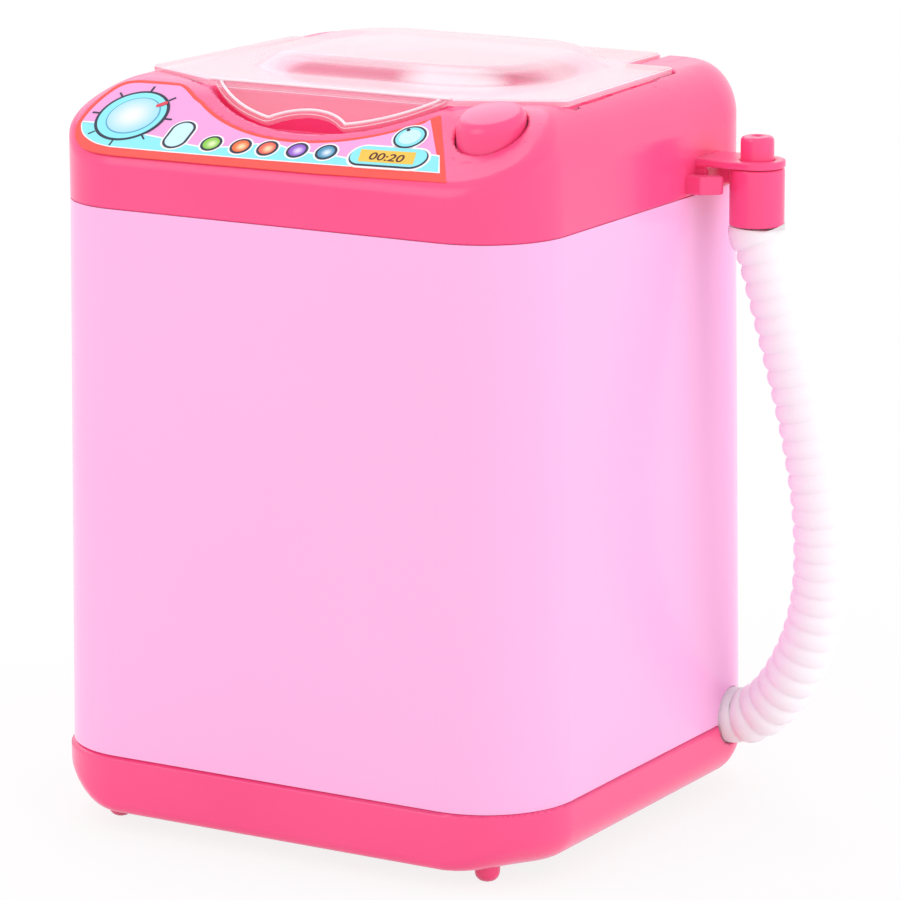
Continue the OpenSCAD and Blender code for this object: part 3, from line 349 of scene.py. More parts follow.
vinyl = soft_vinyl("soft_vinyl", colour(255, 250, 254))
SPIGOT_LAP = 0.7
RIB_DEPTH, RIB_PITCH = 0.6, 2.9

hose_curve = bpy.data.curves.new("hose_line", "CURVE")
hose_curve.dimensions = "3D"
spline = hose_curve.splines.new("POLY")
tube_line = np.vstack([hose_line[:1] - (SPIGOT_LAP * MM, 0, 0), hose_line])
spline.points.add(len(tube_line) - 1)
for point, place in zip(spline.points, tube_line):
    point.co = (*place, 1)
drain_hose = grow("corrugated_hose", new_object("hose_line", hose_curve),
                  corrugated_tube_tree(), radius=HOSE_D / 2 * MM, rib_depth=RIB_DEPTH * MM,
                  pitch=RIB_PITCH * MM, material=vinyl)

# %% [markdown]
# ## Nozzle
# The hose pushes into the nozzle from below, and the stub on top snaps up through the ring of
# the clip. It is a turned shape, so its profile is drawn once and spun. The rings are joined
# by hand rather than with the Screw modifier, so that both poles close to one point.

# %% Turning helper
def finish_mesh(name, mesh, material):
    """Makes a piece of a mesh, in its material and shaded smooth."""
    mesh.materials.append(material)
    mesh.shade_smooth()
    return new_object(name, mesh)


def rounded(corners, radius, steps=5):
    """A polyline with each inner corner replaced by a short curve."""
    line = [corners[0]]
    for before, here, after in zip(corners, corners[1:], corners[2:]):
        before, here, after = (Vector(c) for c in (before, here, after))
        reach = min(radius, (before - here).length / 2, (after - here).length / 2)
        start = here + (before - here).normalized() * reach
        end = here + (after - here).normalized() * reach
        for i in range(steps + 1):
            t = i / steps
            line.append(tuple(start * (1 - t) ** 2 + here * 2 * t * (1 - t) + end * t ** 2))
    return [*line, corners[-1]]


def turned(name, profile, centre, material, sides=96):
    """A closed solid of revolution about a vertical axis; profile runs from axis to axis."""
    build = bmesh.new()
    x, y = centre
    rings = []
    for radius, height in profile:
        count = 1 if radius < 1e-6 else sides
        rings.append([build.verts.new(((x + radius * math.cos(2 * math.pi * k / sides)) * MM,
                                       (y + radius * math.sin(2 * math.pi * k / sides)) * MM,
                                       height * MM)) for k in range(count)])
    for low, high in zip(rings, rings[1:]):
        for k in range(sides):
            corners = [low[k % len(low)], low[(k + 1) % len(low)],
                       high[(k + 1) % len(high)], high[k % len(high)]]
            corners = list(dict.fromkeys(corners))
            if len(corners) > 2:
                build.faces.new(corners)
    bmesh.ops.recalc_face_normals(build, faces=build.faces)
    mesh = bpy.data.meshes.new(name)
    build.to_mesh(mesh)
    build.free()
    return finish_mesh(name, mesh, material)

# %% Nozzle
nozzle_x, nozzle_y = (nozzle_low[:2] + nozzle_high[:2]) / 2
nozzle_r = (nozzle_high[0] - nozzle_low[0]) / 2
STUB_R = 2.65
COLLAR_TOP = nozzle_low[2] + 9.1
BLIND_R = 0.9
nozzle_profile = [(0, nozzle_low[2]), *rounded([(HOSE_D / 2 - 0.8, nozzle_low[2]),
                  (nozzle_r, nozzle_low[2]), (nozzle_r, COLLAR_TOP), (STUB_R, COLLAR_TOP)], 0.5),
                  *rounded([(STUB_R, COLLAR_TOP + 1), (STUB_R, nozzle_high[2]),
                  (BLIND_R, nozzle_high[2])], 1.3),
                  (BLIND_R * 0.8, nozzle_high[2] - 0.8), (0, nozzle_high[2] - 0.8)]
nozzle = turned("hose_nozzle_turned", nozzle_profile, (nozzle_x, nozzle_y), hot_pink)
print(f"nozzle at x {nozzle_x:.1f}, y {nozzle_y:.1f}, radius {nozzle_r:.2f} mm")

# %% [markdown]
# ## Casting moulded shells from a distance field
# A moulded cover is a stack of simple cuts with every edge rounded. Bevels struggle where
# many edges meet, so here each piece is a function instead: for any point it says how far
# the surface is, negative inside. Meeting, joining and cutting such fields rounds their
# edges by a chosen radius. The field is sampled on a grid, one vertex is put in each cell
# that the surface crosses (the surface-nets method), the vertices slide onto the exact
# surface, and the field's slope there gives perfectly smooth normals.

# %% Shapes as distances
def box_2d(x, y, half_x, half_y, radius):
    """Distance to a rectangle with round corners, centred on the origin."""
    out_x = np.abs(x) - half_x + radius
    out_y = np.abs(y) - half_y + radius
    outside = np.hypot(np.maximum(out_x, 0), np.maximum(out_y, 0))
    return outside + np.minimum(np.maximum(out_x, out_y), 0) - radius


def disc_2d(x, y, centre_x, centre_y, radius):
    """Distance to a circle."""
    return np.hypot(x - centre_x, y - centre_y) - radius


def polygon_2d(x, y, corners):
    """Distance to a closed outline of straight lines."""
    x, y = np.broadcast_arrays(x, y)
    nearest, inside = np.full(x.shape, 1e9), np.zeros(x.shape, bool)
    for (ax, ay), (bx, by) in zip(corners, corners[1:] + corners[:1]):
        dx, dy = bx - ax, by - ay
        t = np.clip(((x - ax) * dx + (y - ay) * dy) / (dx * dx + dy * dy), 0, 1)
        nearest = np.minimum(nearest, np.hypot(x - ax - t * dx, y - ay - t * dy))
        crosses = (ay > y) != (by > y)
        inside ^= crosses & (x < ax + (y - ay) * dx / (dy if dy else 1e-9))
    return np.where(inside, -nearest, nearest)


def meet(first, second, radius):
    """What lies in both, with the edge between them rounded."""
    outer = np.hypot(np.maximum(radius + first, 0), np.maximum(radius + second, 0))
    return np.minimum(-radius, np.maximum(first, second)) + outer


def join(first, second, radius):
    """What lies in either, with the inner corner filled by a fillet."""
    return -meet(-first, -second, radius)


def cut(first, second, radius):
    """The first with the second taken away, and the edge of the cut rounded."""
    return meet(first, -second, radius)


def between(value, low, high, radius=0.3):
    """A slab from low to high along one direction."""
    return meet(low - value, value - high, radius)


def both(*forms):
    """What lies in all the forms, with sharp edges."""
    return reduce(np.maximum, forms)


def either(*forms):
    """What lies in any of the forms, with sharp corners."""
    return reduce(np.minimum, forms)


def sideways(x, y, half_x, half_y, radius):
    """How far an outline has turned: 0 along front and back, 1 along the sides."""
    out_x = np.maximum(np.abs(x) - half_x + radius, 0)
    out_y = np.maximum(np.abs(y) - half_y + radius, 0)
    return out_x ** 2 / np.maximum(out_x ** 2 + out_y ** 2, 1e-9)

# %% Surface nets
def cast(name, distance, low, high, cell, material):
    """A mesh of the surface where distance(x, y, z) is 0, about the cabinet's middle."""
    axes = [np.arange(a - 1.5 * cell, b + 2.5 * cell, cell) for a, b in zip(low, high)]
    field = distance(*np.meshgrid(*axes, indexing="ij", sparse=True))
    shape = np.array(field.shape) - 1
    inside = field < 0
    corners = np.array([(i, j, k) for i in (0, 1) for j in (0, 1) for k in (0, 1)])
    count = sum(inside[i:shape[0] + i, j:shape[1] + j, k:shape[2] + k].astype(np.int8)
                for i, j, k in corners)
    cells = np.argwhere((count > 0) & (count < 8))
    number = np.full(shape, -1)
    number[tuple(cells.T)] = np.arange(len(cells))
    value = np.stack([field[tuple((cells + c).T)] for c in corners], 1)
    total, crossings = np.zeros((len(cells), 3)), np.zeros(len(cells))
    for a in range(8):
        for b in range(a + 1, 8):
            if np.abs(corners[a] - corners[b]).sum() == 1:
                crossed = (value[:, a] < 0) != (value[:, b] < 0)
                step = value[:, a] - value[:, b]
                t = np.where(crossed, value[:, a] / np.where(step == 0, 1, step), 0)
                total += crossed[:, None] * (corners[a] + t[:, None] * (corners[b] - corners[a]))
                crossings += crossed
    origin = np.array([axis[0] for axis in axes])
    points = origin + cell * (cells + total / crossings[:, None])
    quads = []
    for axis in range(3):
        along, one, two = np.roll(np.eye(3, dtype=int), -axis, axis=0)
        stop = shape + 1 - along
        first = inside[:stop[0], :stop[1], :stop[2]]
        second = inside[along[0]:, along[1]:, along[2]:]
        edges = np.argwhere(first != second)
        edges = edges[(edges @ one > 0) & (edges @ two > 0)]
        outward = first[tuple(edges.T)]
        around = [edges - one - two, edges - two, edges, edges - one]
        loop = np.stack([number[tuple(e.T)] for e in around], 1)
        quads.append(np.where(outward[:, None], loop, loop[:, ::-1]))
    quads = np.concatenate(quads)

    def slope(p):
        nudge = 0.02
        steps = [distance(*(p + nudge * d).T) - distance(*(p - nudge * d).T) for d in np.eye(3)]
        return np.stack(steps, 1) / (2 * nudge)

    def outward_at(p):
        normal = slope(p)
        return normal / np.maximum(np.linalg.norm(normal, axis=1, keepdims=True), 1e-9)

    for _ in range(4):
        normal = slope(points)
        step = distance(*points.T) / np.maximum((normal ** 2).sum(1), 0.2)
        points -= np.clip(step, -cell / 3, cell / 3)[:, None] * normal
    normal = outward_at(points)
    spread = np.einsum("fvc,fwc->fvw", normal[quads], normal[quads]).min(axis=(1, 2))
    flat = np.ones(len(points), bool)
    np.logical_and.at(flat, quads, (spread > 0.999999)[:, None])
    mesh = bpy.data.meshes.new(name)
    mesh.vertices.add(len(points))
    mesh.vertices.foreach_set("co", ((points + (MID_X, 0, 0)) * MM).astype(np.float32).ravel())
    mesh.loops.add(quads.size)
    mesh.loops.foreach_set("vertex_index", quads.astype(np.int32).ravel())
    mesh.polygons.add(len(quads))
    mesh.polygons.foreach_set("loop_start", np.arange(0, quads.size, 4, dtype=np.int32))
    mesh.update(calc_edges=True)
    ends = read(mesh.edges, "vertices", 2, np.int32)
    mesh.edges.foreach_set("use_seam", ~flat[ends].all(1))
    source = new_object(name, mesh)
    thin = source.modifiers.new("flat_faces_joined", "DECIMATE")
    thin.decimate_type, thin.delimit, thin.angle_limit = "DISSOLVE", {"SEAM"}, 0.01
    joined = mesh_of(source)
    joined.name = name
    piece = finish_mesh(name, joined, material)
    kept = read(joined.vertices, "co", 3).astype(float)
    normal = outward_at(kept / MM - (MID_X, 0, 0))
    joined.normals_split_custom_set_from_vertices(normal.astype(np.float32))
    print(f"{name}: {len(quads)} quads, {len(joined.polygons)} faces after joining flat ones")
    return piece

# %% [markdown]
# ## Top cover
# One moulding carries the control panel, the lid's seat, the hinge pocket, the finger recess,
# the button's well and the hose clip. The roof's edge is rounded by 9 mm along the sides and
# by 3.4 mm along the back, and the radius changes smoothly round the corners.

# %% Outer form of the cover
BACK_ROUND, SIDE_ROUND, RIDGE_ROUND = 3.4, 9.0, 1.8
BEND_Y = FRONT_Y + 20 * math.cos(PANEL_ANGLE)
SEAT_Z, LID_Z, LID_TOP = DECK_Z - 0.7, DECK_Z - 0.6, DECK_Z + 0.6
HINGE_Y, HINGE_Z = 34.6, LID_Z - 0.95


def panel_frame(y, z):
    """Distance up the sloping panel from its front ridge, and height above the panel."""
    back, rise = y - FRONT_Y, z - RIDGE_Z
    return (back * math.cos(PANEL_ANGLE) + rise * math.sin(PANEL_ANGLE),
            rise * math.cos(PANEL_ANGLE) - back * math.sin(PANEL_ANGLE))


def cover_form(x, y, z):
    """Distance to the cover's outer form, before anything is cut."""
    plan = HALF_W, HALF_D, CORNER_R
    edge = BACK_ROUND + (SIDE_ROUND - BACK_ROUND) * sideways(x, y, *plan)
    roof = meet(box_2d(x, y, *plan), z - DECK_Z, edge)
    return meet(roof, panel_frame(y, z)[1], RIDGE_ROUND)


def inset(corners, distance):
    """An outline, listed anticlockwise, with every side moved inward."""
    lines = []
    for (ax, ay), (bx, by) in zip(corners, corners[1:] + corners[:1]):
        length = math.hypot(bx - ax, by - ay)
        nx, ny = (by - ay) / length, (ax - bx) / length
        lines.append((nx, ny, nx * ax + ny * ay - distance))
    moved = []
    for (a, b, c), (d, e, f) in zip(lines[-1:] + lines[:-1], lines):
        size = a * e - b * d
        moved.append(((c * e - b * f) / size, (a * f - c * d) / size))
    return moved


LID_W, LID_B, NOSE_W, TONGUE_W = 38.0, 36.0, 22.23, 27.0
LID_OUTLINE = [(-NOSE_W, BEND_Y), (NOSE_W, BEND_Y), (LID_W, -15.03), (LID_B, 23),
               (TONGUE_W, 23), (TONGUE_W, 35.7), (-TONGUE_W, 35.7), (-TONGUE_W, 23),
               (-LID_B, 23), (-LID_W, -15.03)]
LID_GAP, LID_CORNER = 0.45, 1.4
LID_CORE = inset(LID_OUTLINE, LID_CORNER)
ARC_T, FLAP_R, RECESS_R, RECESS_DEPTH = 39.3, 28.6, 29.4, 6.4
button_x, button_y = (button_low[:2] + button_high[:2]) / 2 - (MID_X, 0)
CLIP_X, CLIP_Y, CLIP_R = nozzle_x - MID_X, nozzle_y, 4.45
PLATE_Z, PLATE_H = RIM_Z + 4.6, 1.2
print(f"bend at y {BEND_Y:.2f}, button at {button_x:.1f}, {button_y:.1f}")

# %% Cover with all its cuts
COVER_POSTS = [(sx * 36.8, sy * 14.0, 98.6) for sx in (-1, 1) for sy in (-1, 1)]
EAR_POSTS = [(29.4 * math.cos(a), DRUM_Y + 29.4 * math.sin(a), 112.8)
             for a in np.radians([45, 135, 225, 315])]
POST_R, BORE_R, BORE_DEPTH, BORE_TOP = 2.8, 1.1, 9, 116.2
MOUTH_R, WELL_R, HIDDEN_EDGE = 23.2, 5.55, 113.7


def cover_shape(x, y, z):
    """Distance to the finished cover, but for its hose clip."""
    up, off = panel_frame(y, z)
    form = cover_form(x, y, z)
    shell = meet(both(form, -form - COVER_WALL), RIM_Z - z, 0.35)
    drum = np.hypot(x, y - DRUM_Y)
    button = np.hypot(x - button_x, y - button_y)
    posts = [(disc_2d(x, y, post_x, post_y, 0), foot)
             for post_x, post_y, foot in COVER_POSTS + EAR_POSTS]
    inner = either(both(between(drum, MOUTH_R, MOUTH_R + 1.4), 108.7 - z),
                   both(between(drum, MOUTH_R + 2, MOUTH_R + 3.6), HIDDEN_EDGE - z),
                   both(box_2d(x, y - HINGE_Y - 1.8, 30.6, 6, 0.5), HIDDEN_EDGE - z),
                   both(button - WELL_R - 1.4, 104.15 - z),
                   both(disc_2d(x, up, 0, ARC_T, RECESS_R + COVER_WALL),
                        -off - RECESS_DEPTH - COVER_WALL, y - BEND_Y - 2.6),
                   *[both(far - POST_R, foot - z) for far, foot in posts])
    solid = join(shell, both(inner, form + 0.3), 0.5)
    bores = [both(far - BORE_R, z - min(foot + BORE_DEPTH, BORE_TOP)) for far, foot in posts]
    solid = both(solid, -either(*bores))
    outline = polygon_2d(x, y, LID_CORE) - LID_CORNER
    solid = cut(solid, meet(outline - LID_GAP, SEAT_Z - z, 0.25), 0.3)
    groove = both(between(outline, -0.7, LID_GAP), BEND_Y + 1.5 - y)
    solid = both(solid, -both(groove, SEAT_Z - 0.6 - z))
    solid = cut(solid, drum - MOUTH_R, 0.6)
    pocket = both(np.abs(x) - TONGUE_W - 0.35, HINGE_Y - 1.7 - y, 115.3 - z)
    pins = both(np.hypot(y - HINGE_Y, z - HINGE_Z) - 0.95, np.abs(x) - TONGUE_W - 2.7)
    solid = both(cut(solid, pocket, 0.3), -pins)
    recess = meet(disc_2d(x, up, 0, ARC_T, RECESS_R),
                  both(-off - RECESS_DEPTH, y - BEND_Y - 1), 0.8)
    solid = cut(solid, recess, 0.45)
    return cut(solid, button - WELL_R, 0.5)

# %% Hose clip
def clip_shape(x, y, z):
    """Distance to the hose clip: plate, web and the two jaws of the fork."""
    side, across = x - HALF_W, np.abs(y - CLIP_Y)
    stadium = np.hypot(np.maximum(x - CLIP_X, 0), across) - CLIP_R
    plate = meet(both(stadium, -1 - side), between(z, PLATE_Z, PLATE_Z + PLATE_H), 0.3)
    plate = cut(plate, disc_2d(x, y, CLIP_X, CLIP_Y, STUB_R + 0.15), 0.3)
    web = meet(box_2d(side - 0.4, across, 1.4, 4.2, 0.4),
               between(z, RIM_Z + 0.6, PLATE_Z + 0.5), 0.3)
    jaw = meet(polygon_2d(side, across, JAW_CORE) - 0.7,
               between(z, RIM_Z + 0.6, RIM_Z + 3.5), 0.4)
    return join(join(plate, web, 0.5), jaw, 0.5)


JAW_CORE = inset([(-1, 5.2), (1.4, 5.2), (4.2, 4.0), (5.4, 5.2), (2.6, 7.6), (-1, 7.6)], 0.59)

# %% Cast the cover and its clip
cover_main = cast("top_cover_main", cover_shape, (-HALF_W, -HALF_D, 98),
                  (HALF_W, HALF_D, DECK_Z), 0.47, hot_pink)
clip_main = cast("hose_clip_main", clip_shape, (HALF_W - 1.2, CLIP_Y - 8, RIM_Z),
                 (CLIP_X + 5, CLIP_Y + 8, PLATE_Z + 2), 0.24, hot_pink)

# %% [markdown]
# ## Base tray
# The tray under the cabinet is rounded little in front and behind, more along its sides and
# most at its corners, above all the back ones. A bevel has one width, so the rounding is a
# number that changes on the way round, as on the cover. The rim slopes down a hair from the
# cabinet's edge, so that a thin dark seam parts the two pinks.

# %% Base tray
TRAY_W, TRAY_D = (tray_high[:2] - tray_low[:2]) / 2
TRAY_R, TRAY_WALL, FOOT_H, SEAM_Z, BAY_Y, EAR_X = CORNER_R + 1.7, 1.8, 2.9, 12.5, -12.0, 34.95
FRONT_EDGE, SIDE_EDGE, FRONT_CORNERS, BACK_CORNERS = 1.8, 5.5, 10, 20
RIM_WALL, RIM_DROP, RIM_LEAN = 1.3, 0.42, 0.0065
BAY_X, BAY_HALF, BAY_TOP = 28.95, 15.2, 19.8


def tray_form(x, y, z):
    """Distance to the tray's outer form, as if it were solid and open upward."""
    plan = TRAY_W, TRAY_D, TRAY_R
    turn = sideways(x, y, *plan)
    corner = np.where(y > 0, BACK_CORNERS, FRONT_CORNERS) * turn * (1 - turn)
    edge = FRONT_EDGE + (SIDE_EDGE - FRONT_EDGE) * turn + corner
    return meet(box_2d(x, y, *plan), FOOT_H - z, edge)


def tray_shape(x, y, z):
    """Distance to the tray with its feet, posts, battery bay and openings."""
    form, back = tray_form(x, y, z), y - BAY_Y
    rim = z - SEAM_Z + (RIM_DROP - RIM_LEAN * x) * np.clip((form + RIM_WALL) / RIM_WALL, 0, 1)
    posts = either(*[disc_2d(np.abs(x), y, 37.9, post_y, 0) for post_y in (-24, 14)])
    ear = disc_2d(x, back, EAR_X, 0, 0)
    inner = either(both(box_2d(x, back, BAY_X + 1.8, BAY_HALF + 1.8, 0.3), z - BAY_TOP - 1.8),
                   both(ear - 5.8, z - 6.2), both(ear - 2.8, z - 10.9),
                   both(posts - 3.2, z - 12.1))
    shell = meet(both(form, -form - TRAY_WALL), rim, 0.15)
    solid = join(shell, both(inner, form + 0.3), 0.3)
    feet = meet(disc_2d(np.abs(x), np.abs(y), 34.2, 33.3, 2), -z, 1.6)
    solid = join(solid, both(feet, z - 4.5), 0.2)
    door = either(box_2d(x, back, BAY_X + 1, BAY_HALF + 1, 0.2),
                  box_2d(x - 31.95, back, 3, 4.1, 0.1))
    tabs = box_2d(x + 29.9, np.abs(back) - 8, 1, 2.4, 0.1)
    outlet = np.hypot(y - HOSE_ROUTE[0][1], z - HOSE_ROUTE[0][2]) - HOSE_D / 2 - 0.05
    holes = either(both(box_2d(x, back, BAY_X, BAY_HALF, 0.3), z - BAY_TOP),
                   both(door, z - 4.71), both(tabs, between(z, 4.7, 6.3, 0.1)),
                   both(ear - 4.1, z - 5.31), both(ear - 1.15, z - 10.8),
                   both(posts - 2.6, z - 6.9), posts - 1.4, both(outlet, 41.8 - x))
    return both(solid, -holes)


tray_main = cast("base_tray_moulded", tray_shape, (-TRAY_W, -TRAY_D, 0),
                 (TRAY_W, TRAY_D, 21.6), 0.62, hot_pink)

# %% [markdown]
# ## Lid
# A clear moulding, slightly milky: a flat plate with a pillow-shaped dome over the drum, a
# flap that hangs down the control panel with a rib along its edge and a notch for a finger, and
# a tongue at the back with the hinge's barrel and pins. The rib is opaque white, a painted
# highlight line along the flap's edge and the bend. A bent sheet made solid would give the
# plate, but its dome, flap and hinge meet at odd angles, so plate, flap and rib are three
# castings that overlap. The two thin ones have finer cells.

# %% Lid's shapes
# The first two numbers place the painted highlight patch on the lid's dome, across from the
# cabinet's middle and along, in millimetres.
RIB_R, HIGHLIGHT_PATCH_X, HIGHLIGHT_PATCH_Y, LIGHT_PASSED = 0.24, 15.5, -11.0, 0.97
DOME_Y, DOME_HALF, DOME_RISE, DOME_FLANK = DRUM_Y - 0.5, (28.8, 22.0), 2.7, 7.0
NOTCH_T, NOTCH_R = 4.6, 9.6


def plate_shape(x, y, z):
    """Distance to plate and hinge; the dome lifts both faces of the plate by one height."""
    rise = np.clip(-box_2d(x, y - DOME_Y, *DOME_HALF, 17) / DOME_FLANK, 0, 1)
    lifted = z - DOME_RISE * rise * rise * (3 - 2 * rise)
    plate = meet(polygon_2d(x, y, LID_CORE) - LID_CORNER, between(lifted, LID_Z, LID_TOP), 0.45)
    axle = np.hypot(y - HINGE_Y, z - HINGE_Z)
    barrel = both(axle - 1.3, np.abs(x) - TONGUE_W)
    block = both(box_2d(x, y - HINGE_Y, TONGUE_W, 1.2, 0.3), between(z, HINGE_Z, LID_Z))
    pins = meet(axle - 0.9, np.abs(x) - TONGUE_W - 2.2, 0.3)
    return join(plate, either(barrel, block, pins), 0.3)


def flap_shape(x, y, z):
    """Distance to the flap, a thin slab that ends in the plate."""
    up, off = panel_frame(y, z)
    slab = meet(flap_edge(x, up), between(off, -0.8, 0.2), 0.25)
    return both(slab, y - BEND_Y - 0.3, z - LID_TOP)


def flap_edge(x, up):
    """Distance to the flap's outline on the panel, its notch cut out."""
    return cut(disc_2d(x, up, 0, ARC_T, FLAP_R), disc_2d(x, up, 0, NOTCH_T, NOTCH_R), 0.7)


def rib_shape(x, y, z):
    """Distance to the round rib that follows the flap's edge and the bend."""
    up, off = panel_frame(y, z)
    rim = both(np.hypot(flap_edge(x, up) + 0.95, off - 0.2) - RIB_R, y - BEND_Y)
    bend = both(np.hypot(y - BEND_Y, z - LID_TOP + 0.05) - RIB_R, np.abs(x) - 22)
    return join(rim, bend, 0.1)

# %% [markdown]
# ## Clear plastic
# The real lid is clear but for a thin milkiness, which shows most at a low angle. Refraction
# would cost much time and look grey in so thin a sheet, so the material is an opaque plastic
# that
# opens by Alpha instead: nearly clear face on and milky at a low angle. It also carries painted
# light: a painted highlight along its rounded edges and in a patch on the dome's front flank,
# and side walls painted the pink of the body seen through them.

# %% Clear plastic
def milky_clear(name, tint, painted_show_through_tint):
    """Clear plastic, milky at a low angle and open where it faces the eye.

    Painted highlights whiten its rounded edges and a patch on the dome's front flank, its side
    walls are painted the pink of the body seen through them, and light passes it freely."""
    material = plastic(name, tint, roughness=0.08, clouding=0.02, ripple=0.004)
    tree = material.node_tree
    calc = partial(math_node, tree)
    facing = add(tree, "ShaderNodeLayerWeight", {"Blend": 0.5}).outputs["Facing"]
    veil = ramp(tree, facing, 0.36, 0.88, 0.08, 0.64)
    here = add(tree, "ShaderNodeTexCoord").outputs
    panel_up = (0, -math.sin(PANEL_ANGLE), math.cos(PANEL_ANGLE))
    up_plate, up_flap = [add(tree, "ShaderNodeVectorMath", {0: here["Normal"], 1: upward},
                             operation="DOT_PRODUCT").outputs["Value"]
                         for upward in ((0, 0, 1), panel_up)]
    place = add(tree, "ShaderNodeSeparateXYZ", {"Vector": here["Object"]}).outputs
    on_flap = calc("LESS_THAN", place["Y"], (BEND_Y - 0.2) * MM)
    upness = add(tree, "ShaderNodeMix", {"Factor": on_flap, "A": up_plate,
                                         "B": up_flap}).outputs["Result"]
    level = calc("ABSOLUTE", upness)
    # Painted highlight: faces tilted between upright and flat, the lid's rounded edges, turn
    # more opaque white.
    edge = ramp(tree, level, 0.9, 0.75, 0.0, 0.75)
    inside = ramp(tree, level, 0.35, 0.5, 0.0, 1.0)
    cover = calc("MAXIMUM", veil, calc("MULTIPLY", edge, inside))
    # Painted show-through: near-upright walls turn more opaque and take the pink of the body
    # seen through them.
    upright = ramp(tree, level, 0.45, 0.3, 0.0, 0.7)
    cover = calc("MAXIMUM", cover, upright)
    # Painted highlight: a fixed patch on the dome's front flank, on faces that look up, turns
    # more opaque white in place of a lamp's reflection.
    from_above = calc("GREATER_THAN", upness, 0.0)
    painted_highlight_patch = calc("MULTIPLY", from_above, ramp(tree, level, 0.99, 0.9, 0.0, 0.62))
    for axis, middle, reach in (("X", MID_X + HIGHLIGHT_PATCH_X, 14.0), ("Y", HIGHLIGHT_PATCH_Y, 7.0)):
        away = calc("ABSOLUTE", calc("SUBTRACT", place[axis], middle * MM))
        near = ramp(tree, away, reach * MM, reach * MM * 0.3, 0.0, 1.0)
        painted_highlight_patch = calc("MULTIPLY", painted_highlight_patch, near)
    cover = calc("MAXIMUM", cover, painted_highlight_patch)
    path = add(tree, "ShaderNodeLightPath").outputs
    lit = calc("MAXIMUM", path["Is Shadow Ray"], path["Is Diffuse Ray"])
    open_to_light = calc("SUBTRACT", 1.0, calc("MULTIPLY", lit, LIGHT_PASSED))
    shader = tree.nodes["Principled BSDF"]
    tree.links.new(calc("MULTIPLY", cover, open_to_light), shader.inputs["Alpha"])
    # The near-upright walls are painted the pink of the body behind them.
    clouded = shader.inputs["Base Color"].links[0].from_socket
    tree.links.new(blend_colours(tree, upright, clouded, painted_show_through_tint), shader.inputs["Base Color"])
    return material


# The lid's own milky white, then the pink painted on its side walls for the body seen through
# them.
clear_lid = milky_clear("clear_lid_plastic", colour(255, 241, 248), colour(250, 90, 148))

# %% Cast the lid
plate_main = cast("lid_plate_main", plate_shape, (-LID_W, BEND_Y - 1, 114), (LID_W, 37, 123),
                  0.38, clear_lid)
FLAP_BOX = (-23, -36, 110), (23, BEND_Y + 1, LID_TOP + 1)
flap_main = cast("lid_flap_main", flap_shape, *FLAP_BOX, 0.25, clear_lid)
rib_main = cast("lid_rib_main", rib_shape, *FLAP_BOX, 0.17, clear_lid)
# The rib takes the lid's second material: opaque white, a painted highlight line.
rib_main.data.polygons.foreach_set("material_index", [1] * len(rib_main.data.polygons))

# %% [markdown]
# ## Power button
# A plunger with a domed top that leans forward. Its flange stops it from leaving the well, and
# the spring under it brings it back up. The leaning top keeps it from being a turned shape,
# so it is cast like the cover.

# %% Power button
BUTTON_TILT, BUTTON_TOP, DOME_R = math.radians(15), 118.9, 30
BUTTON_R, FLANGE_R, BUTTON_LOW, FLANGE_TOP = 5.3, 6.45, 102.85, 104.05


def button_shape(x, y, z):
    """Distance to the button about its own upright axis."""
    side = np.hypot(x - button_x, y - button_y)
    rise, back = z - BUTTON_TOP, y - button_y
    height = rise * math.cos(BUTTON_TILT) - back * math.sin(BUTTON_TILT)
    slide = back * math.cos(BUTTON_TILT) + rise * math.sin(BUTTON_TILT)
    dome = np.sqrt((x - button_x) ** 2 + slide ** 2 + (height + DOME_R) ** 2) - DOME_R
    flange = meet(side - FLANGE_R, between(z, BUTTON_LOW, FLANGE_TOP), 0.2)
    body = join(meet(meet(side - BUTTON_R, dome, 1.2), BUTTON_LOW - z, 0.3), flange, 0.2)
    hollow = both(side - 4.1, z - BUTTON_LOW - 5)
    return either(both(body, -hollow), both(side - 1.5, between(z, BUTTON_LOW - 0.6, 108)))


button_main = cast("power_button_moulded", button_shape, (button_x - 7, button_y - 7, 102),
                   (button_x + 7, button_y + 7, 121), 0.3, hot_pink)

# %% [markdown]
# ## Printed label
# The sticker on the control panel is a stack of thin patches, each a little higher than the
# one below: border, field, band, dial, buttons and a small display. Patches need no UV map and
# stay sharp close up. Outlines are drawn in millimetres across the panel and up its slope.

# %% Inks
def glow(name, middle, rim, centre, radius):
    """A printed disc whose ink fades from its middle to its rim."""
    material = plastic(name, rim, roughness=0.3, clouding=0.01, specular=0.15)
    tree, shader = material.node_tree, material.node_tree.nodes["Principled BSDF"]
    place = add(tree, "ShaderNodeTexCoord").outputs["Object"]
    far = add(tree, "ShaderNodeVectorMath", {0: place, 1: centre}, operation="DISTANCE")
    fade = ramp(tree, far.outputs["Value"], 0.0, radius, 0.0, 1.0)
    tree.links.new(blend_colours(tree, fade, middle, rim), shader.inputs["Base Color"])
    return material

# %% Places and patches on the panel
INK_STEP, INK_BASE = 0.03, 0.06


def on_panel(points, height):
    """Places points of the label, given across and up the slope, in metres."""
    lean, climb = math.cos(PANEL_ANGLE), math.sin(PANEL_ANGLE)
    return [((MID_X + x) * MM, (FRONT_Y + t * lean - height * climb) * MM,
             (RIDGE_Z + t * climb + height * lean) * MM) for x, t in points]


INK_TINTS = (("border", (250, 80, 70)), ("field", (247, 166, 224)), ("cyan", (140, 236, 246)),
             ("pale_cyan", (205, 243, 250)), ("blue", (84, 158, 200)), ("dark", (26, 38, 64)),
             ("white", (255, 250, 253)), ("red", (228, 62, 84)), ("amber", (250, 200, 72)),
             ("digits", (86, 32, 18)))
inks = {name: plastic("ink_" + name, colour(*tint), 0.3, 0.01 if name == "white" else 0.02,
                      specular=0.15) for name, tint in INK_TINTS}
label_build = bmesh.new()
label_materials = list(inks.values())


